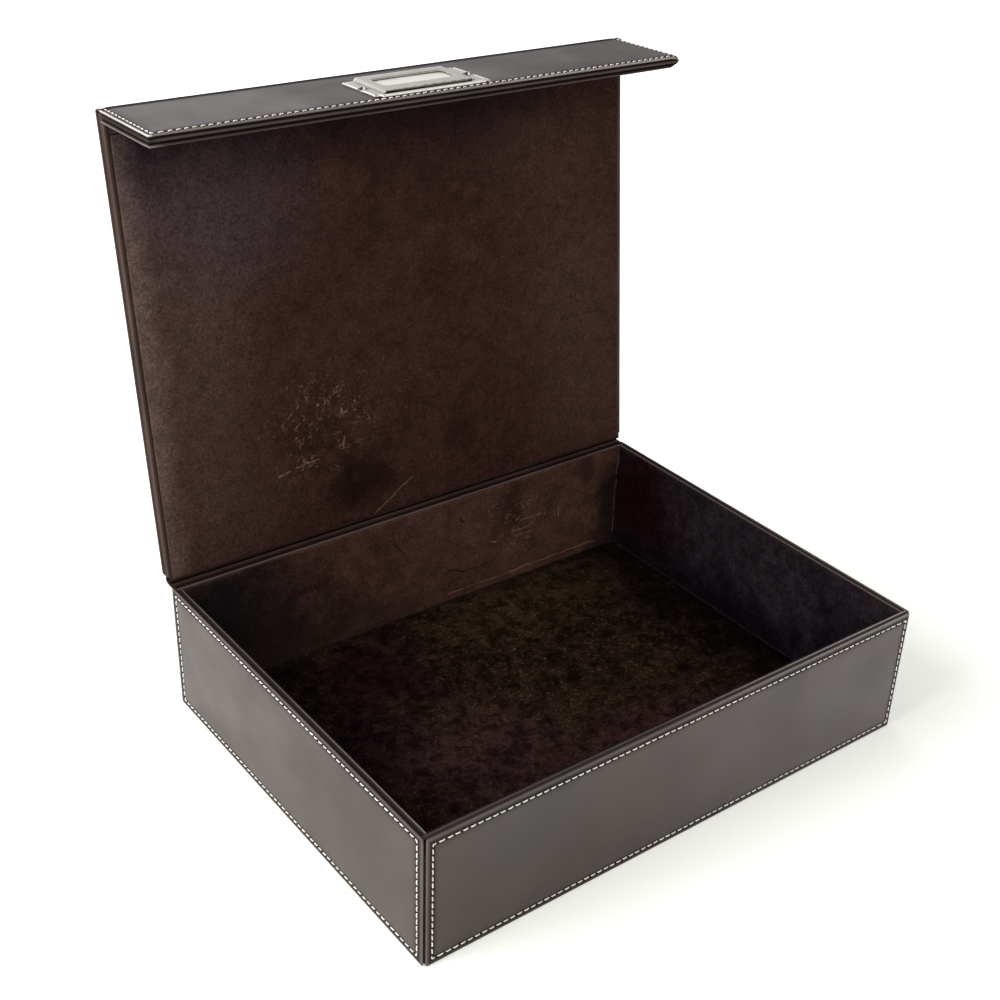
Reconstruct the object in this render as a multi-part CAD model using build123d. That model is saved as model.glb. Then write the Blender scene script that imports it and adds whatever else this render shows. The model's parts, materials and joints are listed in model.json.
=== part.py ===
"""Leather-covered stationery box: an open tray, a lid on a leather strip hinge, and a front flap.

Every wall is a board between a stitched leather panel outside and a suede lining inside.
The lid stands open, leaning a little past upright, and its flap folds over the front when it closes.

Frame: +X right along the front, +Y to the rear, +Z up. Origin: centre of the underside.
"""

from build123d import *
from math import cos, radians, sin
import os

os.makedirs("parts", exist_ok=True)

# ---- Tray -------------------------------------------------------------------------------
TRAY_WIDTH = 325.0          # outside, left to right
TRAY_DEPTH = 250.0          # outside, front to rear
TRAY_HEIGHT = 78.0          # floor to the top of the rim
PANEL_T = 1.5               # outer leather on its card
BOARD_T = 3.0               # wall boards
LINING_T = 1.2              # suede on card
REAR_LINING_T = 2.2         # the rear lining is padded over the hinge leather
BASE_BOARD_T = 3.0
BASE_COVER_T = 1.0          # leather sheet that the box rests on
BASE_COVER_INSET = 2.5      # from the outside of the walls
PANEL_LIFT = 0.4            # the panels' lower edges stay off the table
CORNER_SEAM = 0.6           # each panel stops this short of the corner

# ---- Rim binding: leather strip over a board's top edge ------------------------------------
RIM_DROP = 0.4              # binding's top below the panels' beads
LINING_DROP = 1.0           # linings' tops below the panels' beads
BINDING_TOP_T = 0.6
BINDING_LEG_T = 0.4
BINDING_LEG_H = 9.0
BINDING_ROUND = 0.9

# ---- Lid and flap -----------------------------------------------------------------------
LID_LEAN = 6.0              # degrees past upright, when open
FLAP_CURL = 5.0             # degrees that the open flap droops inside a right angle
LID_OVERHANG = 1.2          # each side of the tray
LID_BOARD_T = 3.0
LID_LINING_T = 1.5
FLAP_DEPTH = 59.0           # outside, from the fold to the free edge
FLAP_CLEARANCE = 0.6        # flap to front panel, when closed
LID_REST_GAP = 0.3          # lid lining to rim, when closed
HINGE_GAP = 5.0             # lid board stops this far from the hinge line
FOLD_GAP = 0.3              # between lid and flap pieces along the mitre
FLAP_CORNER_R = 4.0
EDGING_T = 0.9              # leather edging over the boards' edges
EDGING_RECESS = 0.5         # edging behind the panels' beads
EDGING_BORDER = 3.0         # turned-in border that shows round the lid lining
EDGING_SUNK = 0.4           # border below the lining's face
EDGING_ROUND = 0.9
LID_LINING_HINGE_GAP = 3.0  # lining starts this far above the hinge line
LID_TOP_BORDER = 6.0        # border between the lining and the fold

# ---- Hinge: an inner strip and an outer spine, both glued into rebates --------------------
HINGE_T = 0.9
HINGE_FLANGE = 20.0         # glued length on the lid and down inside the rear wall
HINGE_SIDE_GAP = 0.2        # ends of the strip from the side panels
SPINE_T = 0.8
SPINE_FLANGE = 16.0
SPINE_BULGE = 1.6           # outward belly of the spine behind the hinge

# ---- Stitching ------------------------------------------------------------------------------
STITCH_INSET = 4.5          # thread line from a panel's edge
THREAD_W = 0.8
THREAD_PROUD = 0.2
THREAD_SUNK = 0.25
BEAD_ROUND = 0.6            # turned edge round each panel

# ---- Label holder on the flap --------------------------------------------------------------
HOLDER_X = -2.6             # the holder is pinned on a little left of the middle
HOLDER_FRONT_GAP = 5.2      # plate's front edge from the flap's free edge
PLATE_W = 69.5
PLATE_D = 34.8
PLATE_T = 0.6
SHOULDER_D = 31.6           # depth of the full-width part, from the rear
TAB_W = 63.0                # width in front of the shoulders
NOTCH_R = 1.5               # hollow corner between shoulder and tab
EAR_R = 5.0                 # bulge round each pin
EAR_REACH = 0.8             # beyond the plate's straight end
RAISED_W = 57.0
RAISED_REAR_H = 2.3         # raised part is highest at its open rear mouth
RAISED_FRONT_H = 1.6
RAISED_FRONT = 12.0         # raised part's front edge from the plate's centre
RAISED_FLANK = 0.8          # slope at its front and ends
SLOT_W = 55.0
SLOT_FRONT = 11.0
WINDOW_W = 44.0
WINDOW_D = 14.0
WINDOW_SHIFT = -3.5         # window's centre in front of the plate's
WINDOW_R = 2.5
CARD_W = 51.0
CARD_D = 24.0
CARD_T = 0.4
CARD_LIFT = 0.2             # above the flap's leather
CARD_FRONT = 10.0           # card's front edge from the plate's centre
CARD_SKEW = 0.8             # degrees that the card has turned in its holder
PIN_SPACING = 65.2
PIN_SHIFT = -0.3            # pins' line in front of the plate's centre
PIN_HEAD_R = 1.6
PIN_HEAD_H = 0.9
PIN_SHANK_R = 0.8
PIN_LENGTH = 4.0            # below the plate
PIN_CLEARANCE = 0.05        # holes are this much larger than the shank

# ---- Sizes that follow ----------------------------------------------------------------------
HALF_W = TRAY_WIDTH / 2
HALF_D = TRAY_DEPTH / 2
FLOOR_BOARD_TOP = BASE_COVER_T + BASE_BOARD_T
FLOOR_TOP = FLOOR_BOARD_TOP + LINING_T
BINDING_TOP = TRAY_HEIGHT - RIM_DROP
BOARD_TOP = BINDING_TOP - BINDING_TOP_T
LINING_TOP = TRAY_HEIGHT - LINING_DROP
SPINE_TOP = TRAY_HEIGHT - HINGE_T
REAR_PANEL_TOP = SPINE_TOP - SPINE_T
LID_T = PANEL_T + LID_BOARD_T + LID_LINING_T
LID_HALF_W = HALF_W + LID_OVERHANG
LID_LENGTH = TRAY_DEPTH + FLAP_CLEARANCE + LID_T
MITRE = (1 + sin(radians(FLAP_CURL))) / cos(radians(FLAP_CURL))
HOLDER_Y = FLAP_DEPTH - HOLDER_FRONT_GAP - PLATE_D / 2
PIN_XS = (-PIN_SPACING / 2, PIN_SPACING / 2)

# ---- Planes in which the pieces are drawn ---------------------------------------------------
WALLS = {
    "front": (Plane(origin=(0, -HALF_D, 0), x_dir=(1, 0, 0), z_dir=(0, -1, 0)), TRAY_WIDTH),
    "rear": (Plane(origin=(0, HALF_D, 0), x_dir=(-1, 0, 0), z_dir=(0, 1, 0)), TRAY_WIDTH),
    "left": (Plane(origin=(-HALF_W, 0, 0), x_dir=(0, -1, 0), z_dir=(-1, 0, 0)), TRAY_DEPTH),
    "right": (Plane(origin=(HALF_W, 0, 0), x_dir=(0, 1, 0), z_dir=(1, 0, 0)), TRAY_DEPTH),
}
HINGE_Y = HALF_D
HINGE_Z = TRAY_HEIGHT + LID_REST_GAP
UP = Vector(0, sin(radians(LID_LEAN)), cos(radians(LID_LEAN)))
BACK = Vector(0, cos(radians(LID_LEAN)), -sin(radians(LID_LEAN)))
HINGE_POINT = Vector(0, HINGE_Y, HINGE_Z)
# Lid plane: x across, y up the lid from the hinge line, z forward. The lining's face is z = 0.
LID_PLANE = Plane(origin=HINGE_POINT, x_dir=(1, 0, 0), z_dir=BACK * -1)
FOLD_POINT = HINGE_POINT + UP * LID_LENGTH + BACK * LID_T
FLAP_OUT = UP * cos(radians(FLAP_CURL)) - BACK * sin(radians(FLAP_CURL))
# Flap plane: x across, y from the fold to the free edge, z into the flap from its outer face.
FLAP_PLANE = Plane(origin=FOLD_POINT, x_dir=(1, 0, 0), z_dir=FLAP_OUT * -1)


def block(x0, x1, y0, y1, z0, z1):
    """A box between two corners."""
    return Pos((x0 + x1) / 2, (y0 + y1) / 2, (z0 + z1) / 2) * Box(x1 - x0, y1 - y0, z1 - z0)


def prism(points, x0, x1):
    """A YZ outline drawn out from x0 to x1."""
    outline = Polyline(*[(x0, y, z) for y, z in points], close=True)
    return extrude(make_face(outline), amount=x1 - x0, dir=(1, 0, 0))


def thread_run(x0, x1, y0, y1, z, open_side=None):
    """Thread along a rectangle's sides; open_side 'top' or 'bottom' leaves that side out."""
    w = THREAD_W / 2
    top = y1 if open_side == "top" else y1 + w
    bottom = y0 if open_side == "bottom" else y0 - w
    low = z - THREAD_SUNK
    high = z + THREAD_PROUD
    run = block(x0 - w, x0 + w, bottom, top, low, high)
    run += block(x1 - w, x1 + w, bottom, top, low, high)
    if open_side != "top":
        run += block(x0 - w, x1 + w, y1 - w, y1 + w, low, high)
    if open_side != "bottom":
        run += block(x0 - w, x1 + w, y0 - w, y0 + w, low, high)
    return run


def save(name, shape):
    """Writes one named piece."""
    export_step(shape, f"parts/{name}.step")


# ---- Tray: base ---------------------------------------------------------------------------
def make_base():
    inset = BASE_COVER_INSET
    cover = block(-HALF_W + inset, HALF_W - inset, -HALF_D + inset, HALF_D - inset, 0, BASE_COVER_T)
    board_x = HALF_W - PANEL_T
    board_y = HALF_D - PANEL_T
    board = block(-board_x, board_x, -board_y, board_y, BASE_COVER_T, FLOOR_BOARD_TOP)
    inner_x = board_x - BOARD_T
    inner_y = board_y - BOARD_T
    lining = block(-inner_x, inner_x, -inner_y, inner_y, FLOOR_BOARD_TOP, FLOOR_TOP)
    save("base_cover", cover)
    save("base_board", board)
    save("floor_lining", lining)


# ---- Tray: walls, drawn in each wall's own plane: x along it, y up, z out of it ------------------
def wall_panel(length, top):
    """Outer leather: mitred at the corners, turned at its edges, with a sunk thread line."""
    outer = length / 2 - CORNER_SEAM
    inner = outer - PANEL_T
    corners = [(-inner, 0, -PANEL_T), (-outer, 0, 0), (outer, 0, 0), (inner, 0, -PANEL_T)]
    outline = make_face(Polyline(*corners, close=True))
    panel = extrude(outline, amount=top - PANEL_LIFT, dir=(0, 1, 0))
    panel = Pos(0, PANEL_LIFT, 0) * panel
    panel = fillet(panel.faces().sort_by(Axis.Z)[-1].edges(), BEAD_ROUND)
    x1 = outer - STITCH_INSET
    y0 = PANEL_LIFT + STITCH_INSET
    y1 = top - STITCH_INSET
    thread = thread_run(-x1, x1, y0, y1, 0)
    return panel - thread, thread


def wall_board(half, top):
    return block(-half, half, FLOOR_BOARD_TOP, top, -PANEL_T - BOARD_T, -PANEL_T)


def rim_binding(half):
    """Leather folded over a board's top edge, its legs let into the board's faces."""
    back = -PANEL_T - BOARD_T
    bottom = BOARD_TOP - BINDING_LEG_H
    strip = block(-half, half, bottom, BINDING_TOP, back, -PANEL_T)
    top_edges = strip.faces().sort_by(Axis.Y)[-1].edges().filter_by(Axis.X)
    strip = fillet(top_edges, BINDING_ROUND)
    core = block(-half, half, bottom, BOARD_TOP, back + BINDING_LEG_T, -PANEL_T - BINDING_LEG_T)
    return strip - core


def make_walls():
    long_half = HALF_W - PANEL_T
    short_half = HALF_D - PANEL_T - BOARD_T
    for name, (plane, length) in WALLS.items():
        top = REAR_PANEL_TOP if name == "rear" else TRAY_HEIGHT
        panel, thread = wall_panel(length, top)
        save(f"{name}_panel", plane * panel)
        save(f"{name}_stitching", plane * thread)
        if name == "rear":
            continue
        half = long_half if name == "front" else short_half
        binding = rim_binding(half)
        board = wall_board(half, BINDING_TOP) - binding
        board = board.solids().sort_by(SortBy.VOLUME)[-1]
        save(f"{name}_board", plane * board)
        save(f"{name}_binding", plane * binding)
    make_rear_board(long_half)
    make_linings()


def make_rear_board(half):
    """The rear board is let in for the spine on its outer face; the hinge leather lies on its top."""
    plane = WALLS["rear"][0]
    board = wall_board(half, SPINE_TOP)
    rebate = block(-half, half, SPINE_TOP - SPINE_FLANGE, SPINE_TOP, -PANEL_T - SPINE_T, -PANEL_T)
    save("rear_board", plane * (board - rebate))


def make_linings():
    inner_x = HALF_W - PANEL_T - BOARD_T
    front_y = -HALF_D + PANEL_T + BOARD_T
    rear_y = HALF_D - PANEL_T - BOARD_T
    front_lining = block(-inner_x, inner_x, front_y, front_y + LINING_T, FLOOR_TOP, LINING_TOP)
    rear_lining = block(-inner_x, inner_x, rear_y - REAR_LINING_T, rear_y, FLOOR_TOP, LINING_TOP)
    flange_low = SPINE_TOP - HINGE_FLANGE
    rear_lining -= block(-inner_x, inner_x, rear_y - HINGE_T, rear_y, flange_low, TRAY_HEIGHT)
    save("front_lining", front_lining)
    save("rear_lining", rear_lining)
    y0 = front_y + LINING_T
    y1 = rear_y - REAR_LINING_T
    save("left_lining", block(-inner_x, -inner_x + LINING_T, y0, y1, FLOOR_TOP, LINING_TOP))
    save("right_lining", block(inner_x - LINING_T, inner_x, y0, y1, FLOOR_TOP, LINING_TOP))


# ---- Hinge, drawn at rest -------------------------------------------------------------------
def on_lid(up, back):
    """A YZ point, measured up the lid and back from its lining's face."""
    point = HINGE_POINT + UP * up + BACK * back
    return (point.Y, point.Z)


def make_hinge():
    """Inner strip: up the lid under its lining, over the rear rim and down behind the rear lining."""
    top = EDGING_SUNK + HINGE_T
    board_y = HALF_D - PANEL_T - BOARD_T
    bottom = SPINE_TOP - HINGE_FLANGE
    outline = [
        on_lid(HINGE_FLANGE, EDGING_SUNK),
        on_lid(HINGE_T, EDGING_SUNK),
        (HALF_D - HINGE_T / 2, TRAY_HEIGHT),
        (board_y - HINGE_T, TRAY_HEIGHT),
        (board_y - HINGE_T, bottom),
        (board_y, bottom),
        (board_y, SPINE_TOP),
        (HALF_D, SPINE_TOP),
        on_lid(-HINGE_T, top - HINGE_T / 3),
        on_lid(0, top),
        on_lid(HINGE_FLANGE, top),
    ]
    half = HALF_W - PANEL_T - BOARD_T
    strip = prism(outline, -half, half)
    wide = HALF_W - PANEL_T - HINGE_SIDE_GAP
    over_rim = [p for p in outline if p[1] >= SPINE_TOP]
    over_rim.insert(3, (board_y, TRAY_HEIGHT))
    over_rim = [p for p in over_rim if p[0] >= board_y]
    strip += prism(over_rim, -wide, wide)
    save("hinge_leather", strip)

    inner = LID_T - PANEL_T - SPINE_T
    outer = LID_T - PANEL_T
    belly_y = max(on_lid(HINGE_GAP, outer)[0], HALF_D) + SPINE_BULGE
    rear_y = HALF_D - PANEL_T
    spine = [
        on_lid(HINGE_GAP + SPINE_FLANGE, inner),
        on_lid(HINGE_GAP, inner),
        (HALF_D + 2 * SPINE_T, SPINE_TOP - SPINE_T / 4),
        (HALF_D, SPINE_TOP),
        (rear_y - SPINE_T, SPINE_TOP),
        (rear_y - SPINE_T, SPINE_TOP - SPINE_FLANGE),
        (rear_y, SPINE_TOP - SPINE_FLANGE),
        (rear_y, REAR_PANEL_TOP),
        (HALF_D, REAR_PANEL_TOP),
        (HALF_D + 2 * SPINE_T, REAR_PANEL_TOP - SPINE_T / 4),
        (belly_y, (TRAY_HEIGHT + on_lid(HINGE_GAP, outer)[1]) / 2),
        on_lid(HINGE_GAP, outer),
        on_lid(HINGE_GAP + SPINE_FLANGE, outer),
    ]
    half = HALF_W - PANEL_T - CORNER_SEAM
    save("spine_leather", prism(spine, -half, half))


# ---- Lid and flap layers ----------------------------------------------------------------------
def mitre_lid(back):
    """How far up the lid a layer reaches, at this depth back from the lining's face."""
    return LID_LENGTH - (LID_T - back) * MITRE - FOLD_GAP / 2


def mitre_flap(depth):
    """Where a flap layer starts, at this depth in from the flap's outer face."""
    return depth * MITRE + FOLD_GAP / 2


def lid_layer(half, start, back0, back1):
    """A layer of the lid, from start up to the mitre, drawn in the lid's plane."""
    corners = [
        (start, -back0),
        (mitre_lid(back0), -back0),
        (mitre_lid(back1), -back1),
        (start, -back1),
    ]
    return prism(corners, -half, half)


def flap_layer(half, end, depth0, depth1, corner_r):
    """A layer of the flap, from the mitre to its free edge, with rounded free corners."""
    corners = [(mitre_flap(depth0), depth0), (end, depth0), (end, depth1), (mitre_flap(depth1), depth1)]
    layer = prism(corners, -half, half)
    upright = layer.edges().filter_by(Axis.Z)
    return fillet(upright, corner_r)


def make_lid():
    board_back = LID_LINING_T + LID_BOARD_T
    panel = lid_layer(LID_HALF_W, HINGE_GAP, board_back, LID_T)
    outer_face = panel.faces().sort_by(Axis.Z)[0]
    far_edge = outer_face.edges().filter_by(Axis.X).sort_by(Axis.Y)[-1]
    turned = [e for e in outer_face.edges() if e.center() != far_edge.center()]
    panel = fillet(turned, BEAD_ROUND)
    stitch_x = LID_HALF_W - STITCH_INSET
    thread = thread_run(
        -stitch_x, stitch_x, HINGE_GAP + STITCH_INSET, LID_LENGTH - THREAD_W, LID_T, "top"
    )
    thread = mirror(thread, Plane.XY)
    save("lid_panel", LID_PLANE * (panel - thread))
    save("lid_stitching", LID_PLANE * thread)

    core_half = LID_HALF_W - EDGING_RECESS - EDGING_T
    board = lid_layer(core_half, HINGE_GAP, LID_LINING_T, board_back)
    hinge_top = EDGING_SUNK + HINGE_T
    flange = max(hinge_top, LID_LINING_T)
    board -= block(-core_half, core_half, 0, HINGE_FLANGE, -flange, 0)
    spine_end = HINGE_GAP + SPINE_FLANGE
    board -= block(-core_half, core_half, 0, spine_end, -board_back, -board_back + SPINE_T)
    save("lid_board", LID_PLANE * board)

    lining_half = LID_HALF_W - EDGING_RECESS - EDGING_BORDER
    lining_end = mitre_lid(0) - LID_TOP_BORDER
    lining = block(-lining_half, lining_half, LID_LINING_HINGE_GAP, lining_end, -LID_LINING_T, 0)
    lining -= block(-lining_half, lining_half, 0, HINGE_FLANGE, -LID_LINING_T, -EDGING_SUNK)
    save("lid_lining", LID_PLANE * lining)

    edge_half = LID_HALF_W - EDGING_RECESS
    edging = lid_layer(edge_half, HINGE_GAP, EDGING_SUNK, board_back)
    long_edges = edging.edges().filter_by(Axis.Y).group_by(Axis.Z)[-1]
    edging = fillet(long_edges, EDGING_ROUND)
    edging -= block(-core_half, core_half, 0, LID_LENGTH, -board_back, -LID_LINING_T)
    edging -= block(-lining_half, lining_half, 0, lining_end, -LID_LINING_T, 0)
    edging -= block(-core_half, core_half, 0, HINGE_FLANGE, -flange, 0)
    save("lid_edging", LID_PLANE * edging)


def make_flap():
    board_end = PANEL_T + LID_BOARD_T
    panel = flap_layer(LID_HALF_W, FLAP_DEPTH, 0, PANEL_T, FLAP_CORNER_R)
    outer_face = panel.faces().sort_by(Axis.Z)[0]
    fold_edge = outer_face.edges().filter_by(Axis.X).sort_by(Axis.Y)[0]
    turned = [e for e in outer_face.edges() if e.center() != fold_edge.center()]
    panel = fillet(turned, BEAD_ROUND)
    stitch_x = LID_HALF_W - STITCH_INSET
    thread = thread_run(-stitch_x, stitch_x, THREAD_W, FLAP_DEPTH - STITCH_INSET, 0, "bottom")
    thread = mirror(thread, Plane.XY)
    panel = panel - thread
    for x in PIN_XS:
        panel -= pin_hole(x, 0, PANEL_T)
    save("flap_panel", FLAP_PLANE * panel)
    save("flap_stitching", FLAP_PLANE * thread)

    core = EDGING_RECESS + EDGING_T
    board = flap_layer(LID_HALF_W - core, FLAP_DEPTH - core, PANEL_T, board_end, FLAP_CORNER_R - core)
    for x in PIN_XS:
        board -= pin_hole(x, PANEL_T, board_end)
    save("flap_board", FLAP_PLANE * board)

    edge = EDGING_RECESS
    edging = flap_layer(LID_HALF_W - edge, FLAP_DEPTH - edge, PANEL_T, board_end, FLAP_CORNER_R - edge)
    core_cut = flap_layer(LID_HALF_W - core, FLAP_DEPTH - core, PANEL_T, board_end, FLAP_CORNER_R - core)
    edging = edging - core_cut
    save("flap_edging", FLAP_PLANE * edging)

    lining = flap_layer(LID_HALF_W, FLAP_DEPTH, board_end, LID_T, FLAP_CORNER_R)
    save("flap_lining", FLAP_PLANE * lining)


# ---- Label holder: a stamped plate, two pins and a card, drawn in the flap's plane ---------------
def pin_hole(x, z0, z1):
    radius = PIN_SHANK_R + PIN_CLEARANCE
    return Pos(HOLDER_X + x, HOLDER_Y + PIN_SHIFT, (z0 + z1) / 2) * Cylinder(radius, z1 - z0)


def make_plate():
    """Flat ends and front, and a raised middle with a window; the card slides in from the rear."""
    half_w = PLATE_W / 2
    half_d = PLATE_D / 2
    shoulders = Pos(0, (SHOULDER_D - PLATE_D) / 2) * Rectangle(PLATE_W, SHOULDER_D)
    outline = shoulders + Rectangle(TAB_W, PLATE_D)
    hollow = outline.vertices().filter_by(lambda v: abs(abs(v.X) - TAB_W / 2) < half_d / 100)
    hollow = hollow.filter_by(lambda v: abs(v.Y) < half_d - (PLATE_D - SHOULDER_D) / 4)
    outline = fillet(hollow, NOTCH_R)
    for side in (-1, 1):
        outline += Pos(side * (half_w + EAR_REACH - EAR_R), PIN_SHIFT) * Circle(EAR_R)
    plate = extrude(outline, amount=PLATE_T)
    raised = [
        (-half_d, 0),
        (-half_d, RAISED_REAR_H),
        (RAISED_FRONT - RAISED_FLANK, RAISED_FRONT_H),
        (RAISED_FRONT, PLATE_T),
        (RAISED_FRONT, 0),
    ]
    raised = prism(raised, -RAISED_W / 2, RAISED_W / 2)
    top = raised.faces().sort_by(Axis.Z)[-1]
    ends = top.edges().filter_by(lambda e: abs((e @ 0).X - (e @ 1).X) < PLATE_T)
    plate += chamfer(ends, RAISED_FLANK)
    slot = [
        (-half_d, 0),
        (-half_d, RAISED_REAR_H - PLATE_T),
        (SLOT_FRONT, RAISED_FRONT_H - PLATE_T),
        (SLOT_FRONT, 0),
    ]
    plate -= prism(slot, -SLOT_W / 2, SLOT_W / 2)
    window = extrude(RectangleRounded(WINDOW_W, WINDOW_D, WINDOW_R), amount=RAISED_REAR_H)
    plate -= Pos(0, WINDOW_SHIFT) * window
    for x in PIN_XS:
        plate -= Pos(x, PIN_SHIFT, PLATE_T / 2) * Cylinder(PIN_SHANK_R + PIN_CLEARANCE, PLATE_T)
    return plate


def make_pins():
    pins = []
    for x in PIN_XS:
        head = Pos(x, PIN_SHIFT, PLATE_T + PIN_HEAD_H / 2) * Cylinder(PIN_HEAD_R, PIN_HEAD_H)
        head = fillet(head.edges().group_by(Axis.Z)[-1], PIN_HEAD_H * 0.9)
        length = PLATE_T + PIN_LENGTH
        shank = Pos(x, PIN_SHIFT, PLATE_T - length / 2) * Cylinder(PIN_SHANK_R, length)
        pins.append(head + shank)
    return Compound(children=pins)


def make_card():
    half_d = CARD_D / 2
    card = block(-CARD_W / 2, CARD_W / 2, -half_d, half_d, CARD_LIFT, CARD_LIFT + CARD_T)
    return Pos(0, CARD_FRONT - half_d, 0) * Rot(0, 0, CARD_SKEW) * card


def make_label_holder():
    """The holder is drawn face up, then turned over: the flap's plane points into the flap."""
    seat = FLAP_PLANE * Pos(HOLDER_X, HOLDER_Y, 0)
    for name, piece in (("frame", make_plate()), ("pins", make_pins()), ("card", make_card())):
        save(f"label_{name}", seat * mirror(piece, Plane.XY))


make_base()
make_walls()
make_hinge()
make_lid()
make_flap()
make_label_holder()
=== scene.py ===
"""Looks of a leather-covered stationery box with an open lid, a front flap and a label holder.

Sizes are in millimetres in each face's own coordinates: u along it, v up it, w out of it.
Face.place() turns them into metres in the box's frame.
"""

import json
import math
import random

import bmesh
import bpy
import numpy as np
from mathutils import Matrix, Vector, noise
from mathutils.geometry import delaunay_2d_cdt


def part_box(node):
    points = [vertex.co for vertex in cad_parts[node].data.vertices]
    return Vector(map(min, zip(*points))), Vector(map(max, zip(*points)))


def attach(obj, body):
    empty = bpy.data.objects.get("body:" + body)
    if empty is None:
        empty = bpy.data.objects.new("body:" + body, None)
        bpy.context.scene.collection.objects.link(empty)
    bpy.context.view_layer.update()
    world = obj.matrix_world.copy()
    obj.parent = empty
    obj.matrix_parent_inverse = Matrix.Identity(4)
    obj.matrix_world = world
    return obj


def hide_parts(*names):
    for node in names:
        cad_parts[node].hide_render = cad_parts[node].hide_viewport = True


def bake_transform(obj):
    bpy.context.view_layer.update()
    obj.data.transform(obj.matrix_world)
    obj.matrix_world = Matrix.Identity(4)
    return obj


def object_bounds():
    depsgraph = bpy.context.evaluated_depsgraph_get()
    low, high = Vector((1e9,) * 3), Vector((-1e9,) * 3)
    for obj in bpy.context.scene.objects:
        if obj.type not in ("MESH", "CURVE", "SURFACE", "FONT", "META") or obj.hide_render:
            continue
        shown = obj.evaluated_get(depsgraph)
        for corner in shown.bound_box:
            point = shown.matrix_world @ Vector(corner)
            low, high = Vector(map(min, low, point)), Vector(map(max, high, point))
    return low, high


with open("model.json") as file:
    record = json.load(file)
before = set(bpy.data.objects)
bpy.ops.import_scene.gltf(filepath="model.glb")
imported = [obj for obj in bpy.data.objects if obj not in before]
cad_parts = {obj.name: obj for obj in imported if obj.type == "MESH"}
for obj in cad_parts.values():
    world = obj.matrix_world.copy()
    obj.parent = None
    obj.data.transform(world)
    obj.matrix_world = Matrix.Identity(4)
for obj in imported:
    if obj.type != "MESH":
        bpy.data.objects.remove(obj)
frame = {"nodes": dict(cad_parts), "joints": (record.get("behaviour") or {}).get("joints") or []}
cad_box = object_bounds()
MM = 0.001

# ---- Sizes of the finish, in millimetres ----------------------------------------------------
PANEL_T = 1.5              # leather turned over its card
WALL_FOOT = 0.08           # the walls' covers end just above the desk
LINING_T = 1.5
BEAD = 0.65                # rounding of a turned edge
SEAM_INSET = 4.5           # saddle stitches from the panel's edge, before they are settled
END_WALL_SEAM = (3.4, 4.4, 3.7, 4.4)   # where they lie: from the bottom, right, top and left edge
LONG_WALL_SEAM = (3.4, 2.4, 4.3, 3.4)
COVER_SEAM = (4.5, 3.1, 3.2, 3.3)      # on the lid's cover, from the hinge round to its other side
SEAM_DEPTH = 0.45          # how far the thread has pulled the leather in
HOLE_DEPTH = 0.22          # further dent at each needle hole
HOLE_REACH = 0.6           # how far the dent goes along the seam
HOLE_WIDTH = 0.5           # and across it
STITCH_PITCH = 4.15
STITCH_COVER = 0.72        # share of the pitch that the thread spans before it dives
THREAD_W = 0.78
THREAD_H = 0.62
THREAD_PROUD = 0.22
EDGE_ZONE = 12.0           # width of the finely meshed border of a panel
PANEL_CORNER_R = 0.7
FLAP_CORNER_R = 4.5        # at the flap's right end, which is pressed round
FLAP_FOLD_R = 1.2          # at its left end, which is folded sharp
FLAP_T = 6.0
ROUND_END = 5.5            # length over which the right end rounds off
FOLD_R = 2.0               # outside radius of the cover where lid and flap meet
EDGING_RECESS = 0.5        # edging behind the covers' beads
EDGING_T = 0.9
EDGING_BORDER = 3.0        # border that shows round the lid lining
EDGING_SUNK = 0.4
HINGE_T = 0.9
HINGE_WIDER = 0.9          # how much farther it reaches at each end on the lid than over the rim
HINGE_NARROWER = 3.0       # and less far behind the suede
HINGE_WRINKLED = 26.0      # length of the wrinkled part at each end
HINGE_FLANGE = 20.0
SPINE_T = 0.8
SPINE_REACH = 162.0        # half the width of the spine above the rear wall
RIMS = {                   # ridge radius, gutter depth, and wear and painted highlight at both ends of each rim's binding
    "front": (0.75, 0.6, (0.07, 0.4)),
    "right": (0.55, 0.6, (0.12, 0.15)),
    "left": (0.3, 0.3, (0.15, 0.3)),
}
# The top beads' wear is partly painted highlight, brighter where the walls catch more light.
TOP_WEAR_AND_HIGHLIGHT = {               # of each wall's top bead, at both ends
    "front": (0.1, 0.35), "right": (0.45, 0.45), "left": (0.0, 0.0), "rear": (0.1, 0.1),
}
WEAR_AND_HIGHLIGHT_ENDS = (-20, 110)     # along a wall, where its wear and painted highlight go over from one end's to the other's

# ---- Colours, sRGB ----------------------------------------------------------------------------
LEATHER = "#2b1c17"
LEATHER_DARK = "#231612"
# Pale colours of the rub mark: partly wear, partly painted highlight on beads and ridges.
LEATHER_RUBBED_AND_LIT = "#d9cdc5"
EDGE_LEATHER = "#2c1914"
EDGE_LEATHER_DARK = "#1d110e"
HINGE_LEATHER = "#42302b"
HINGE_LEATHER_DARK = "#33241f"
HINGE_LEATHER_RUBBED_AND_LIT = "#a39791"
# Near-black of the shade mark: painted shade in seams, creases, gutters and gaps, with some wax.
WAX_AND_PAINTED_SHADE = "#080505"
WARM_SHEEN = (1.0, 0.9, 0.92, 1.0)                 # the highlights' tints are linear
NEUTRAL_SHEEN = (0.95, 0.95, 0.96, 1.0)
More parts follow.
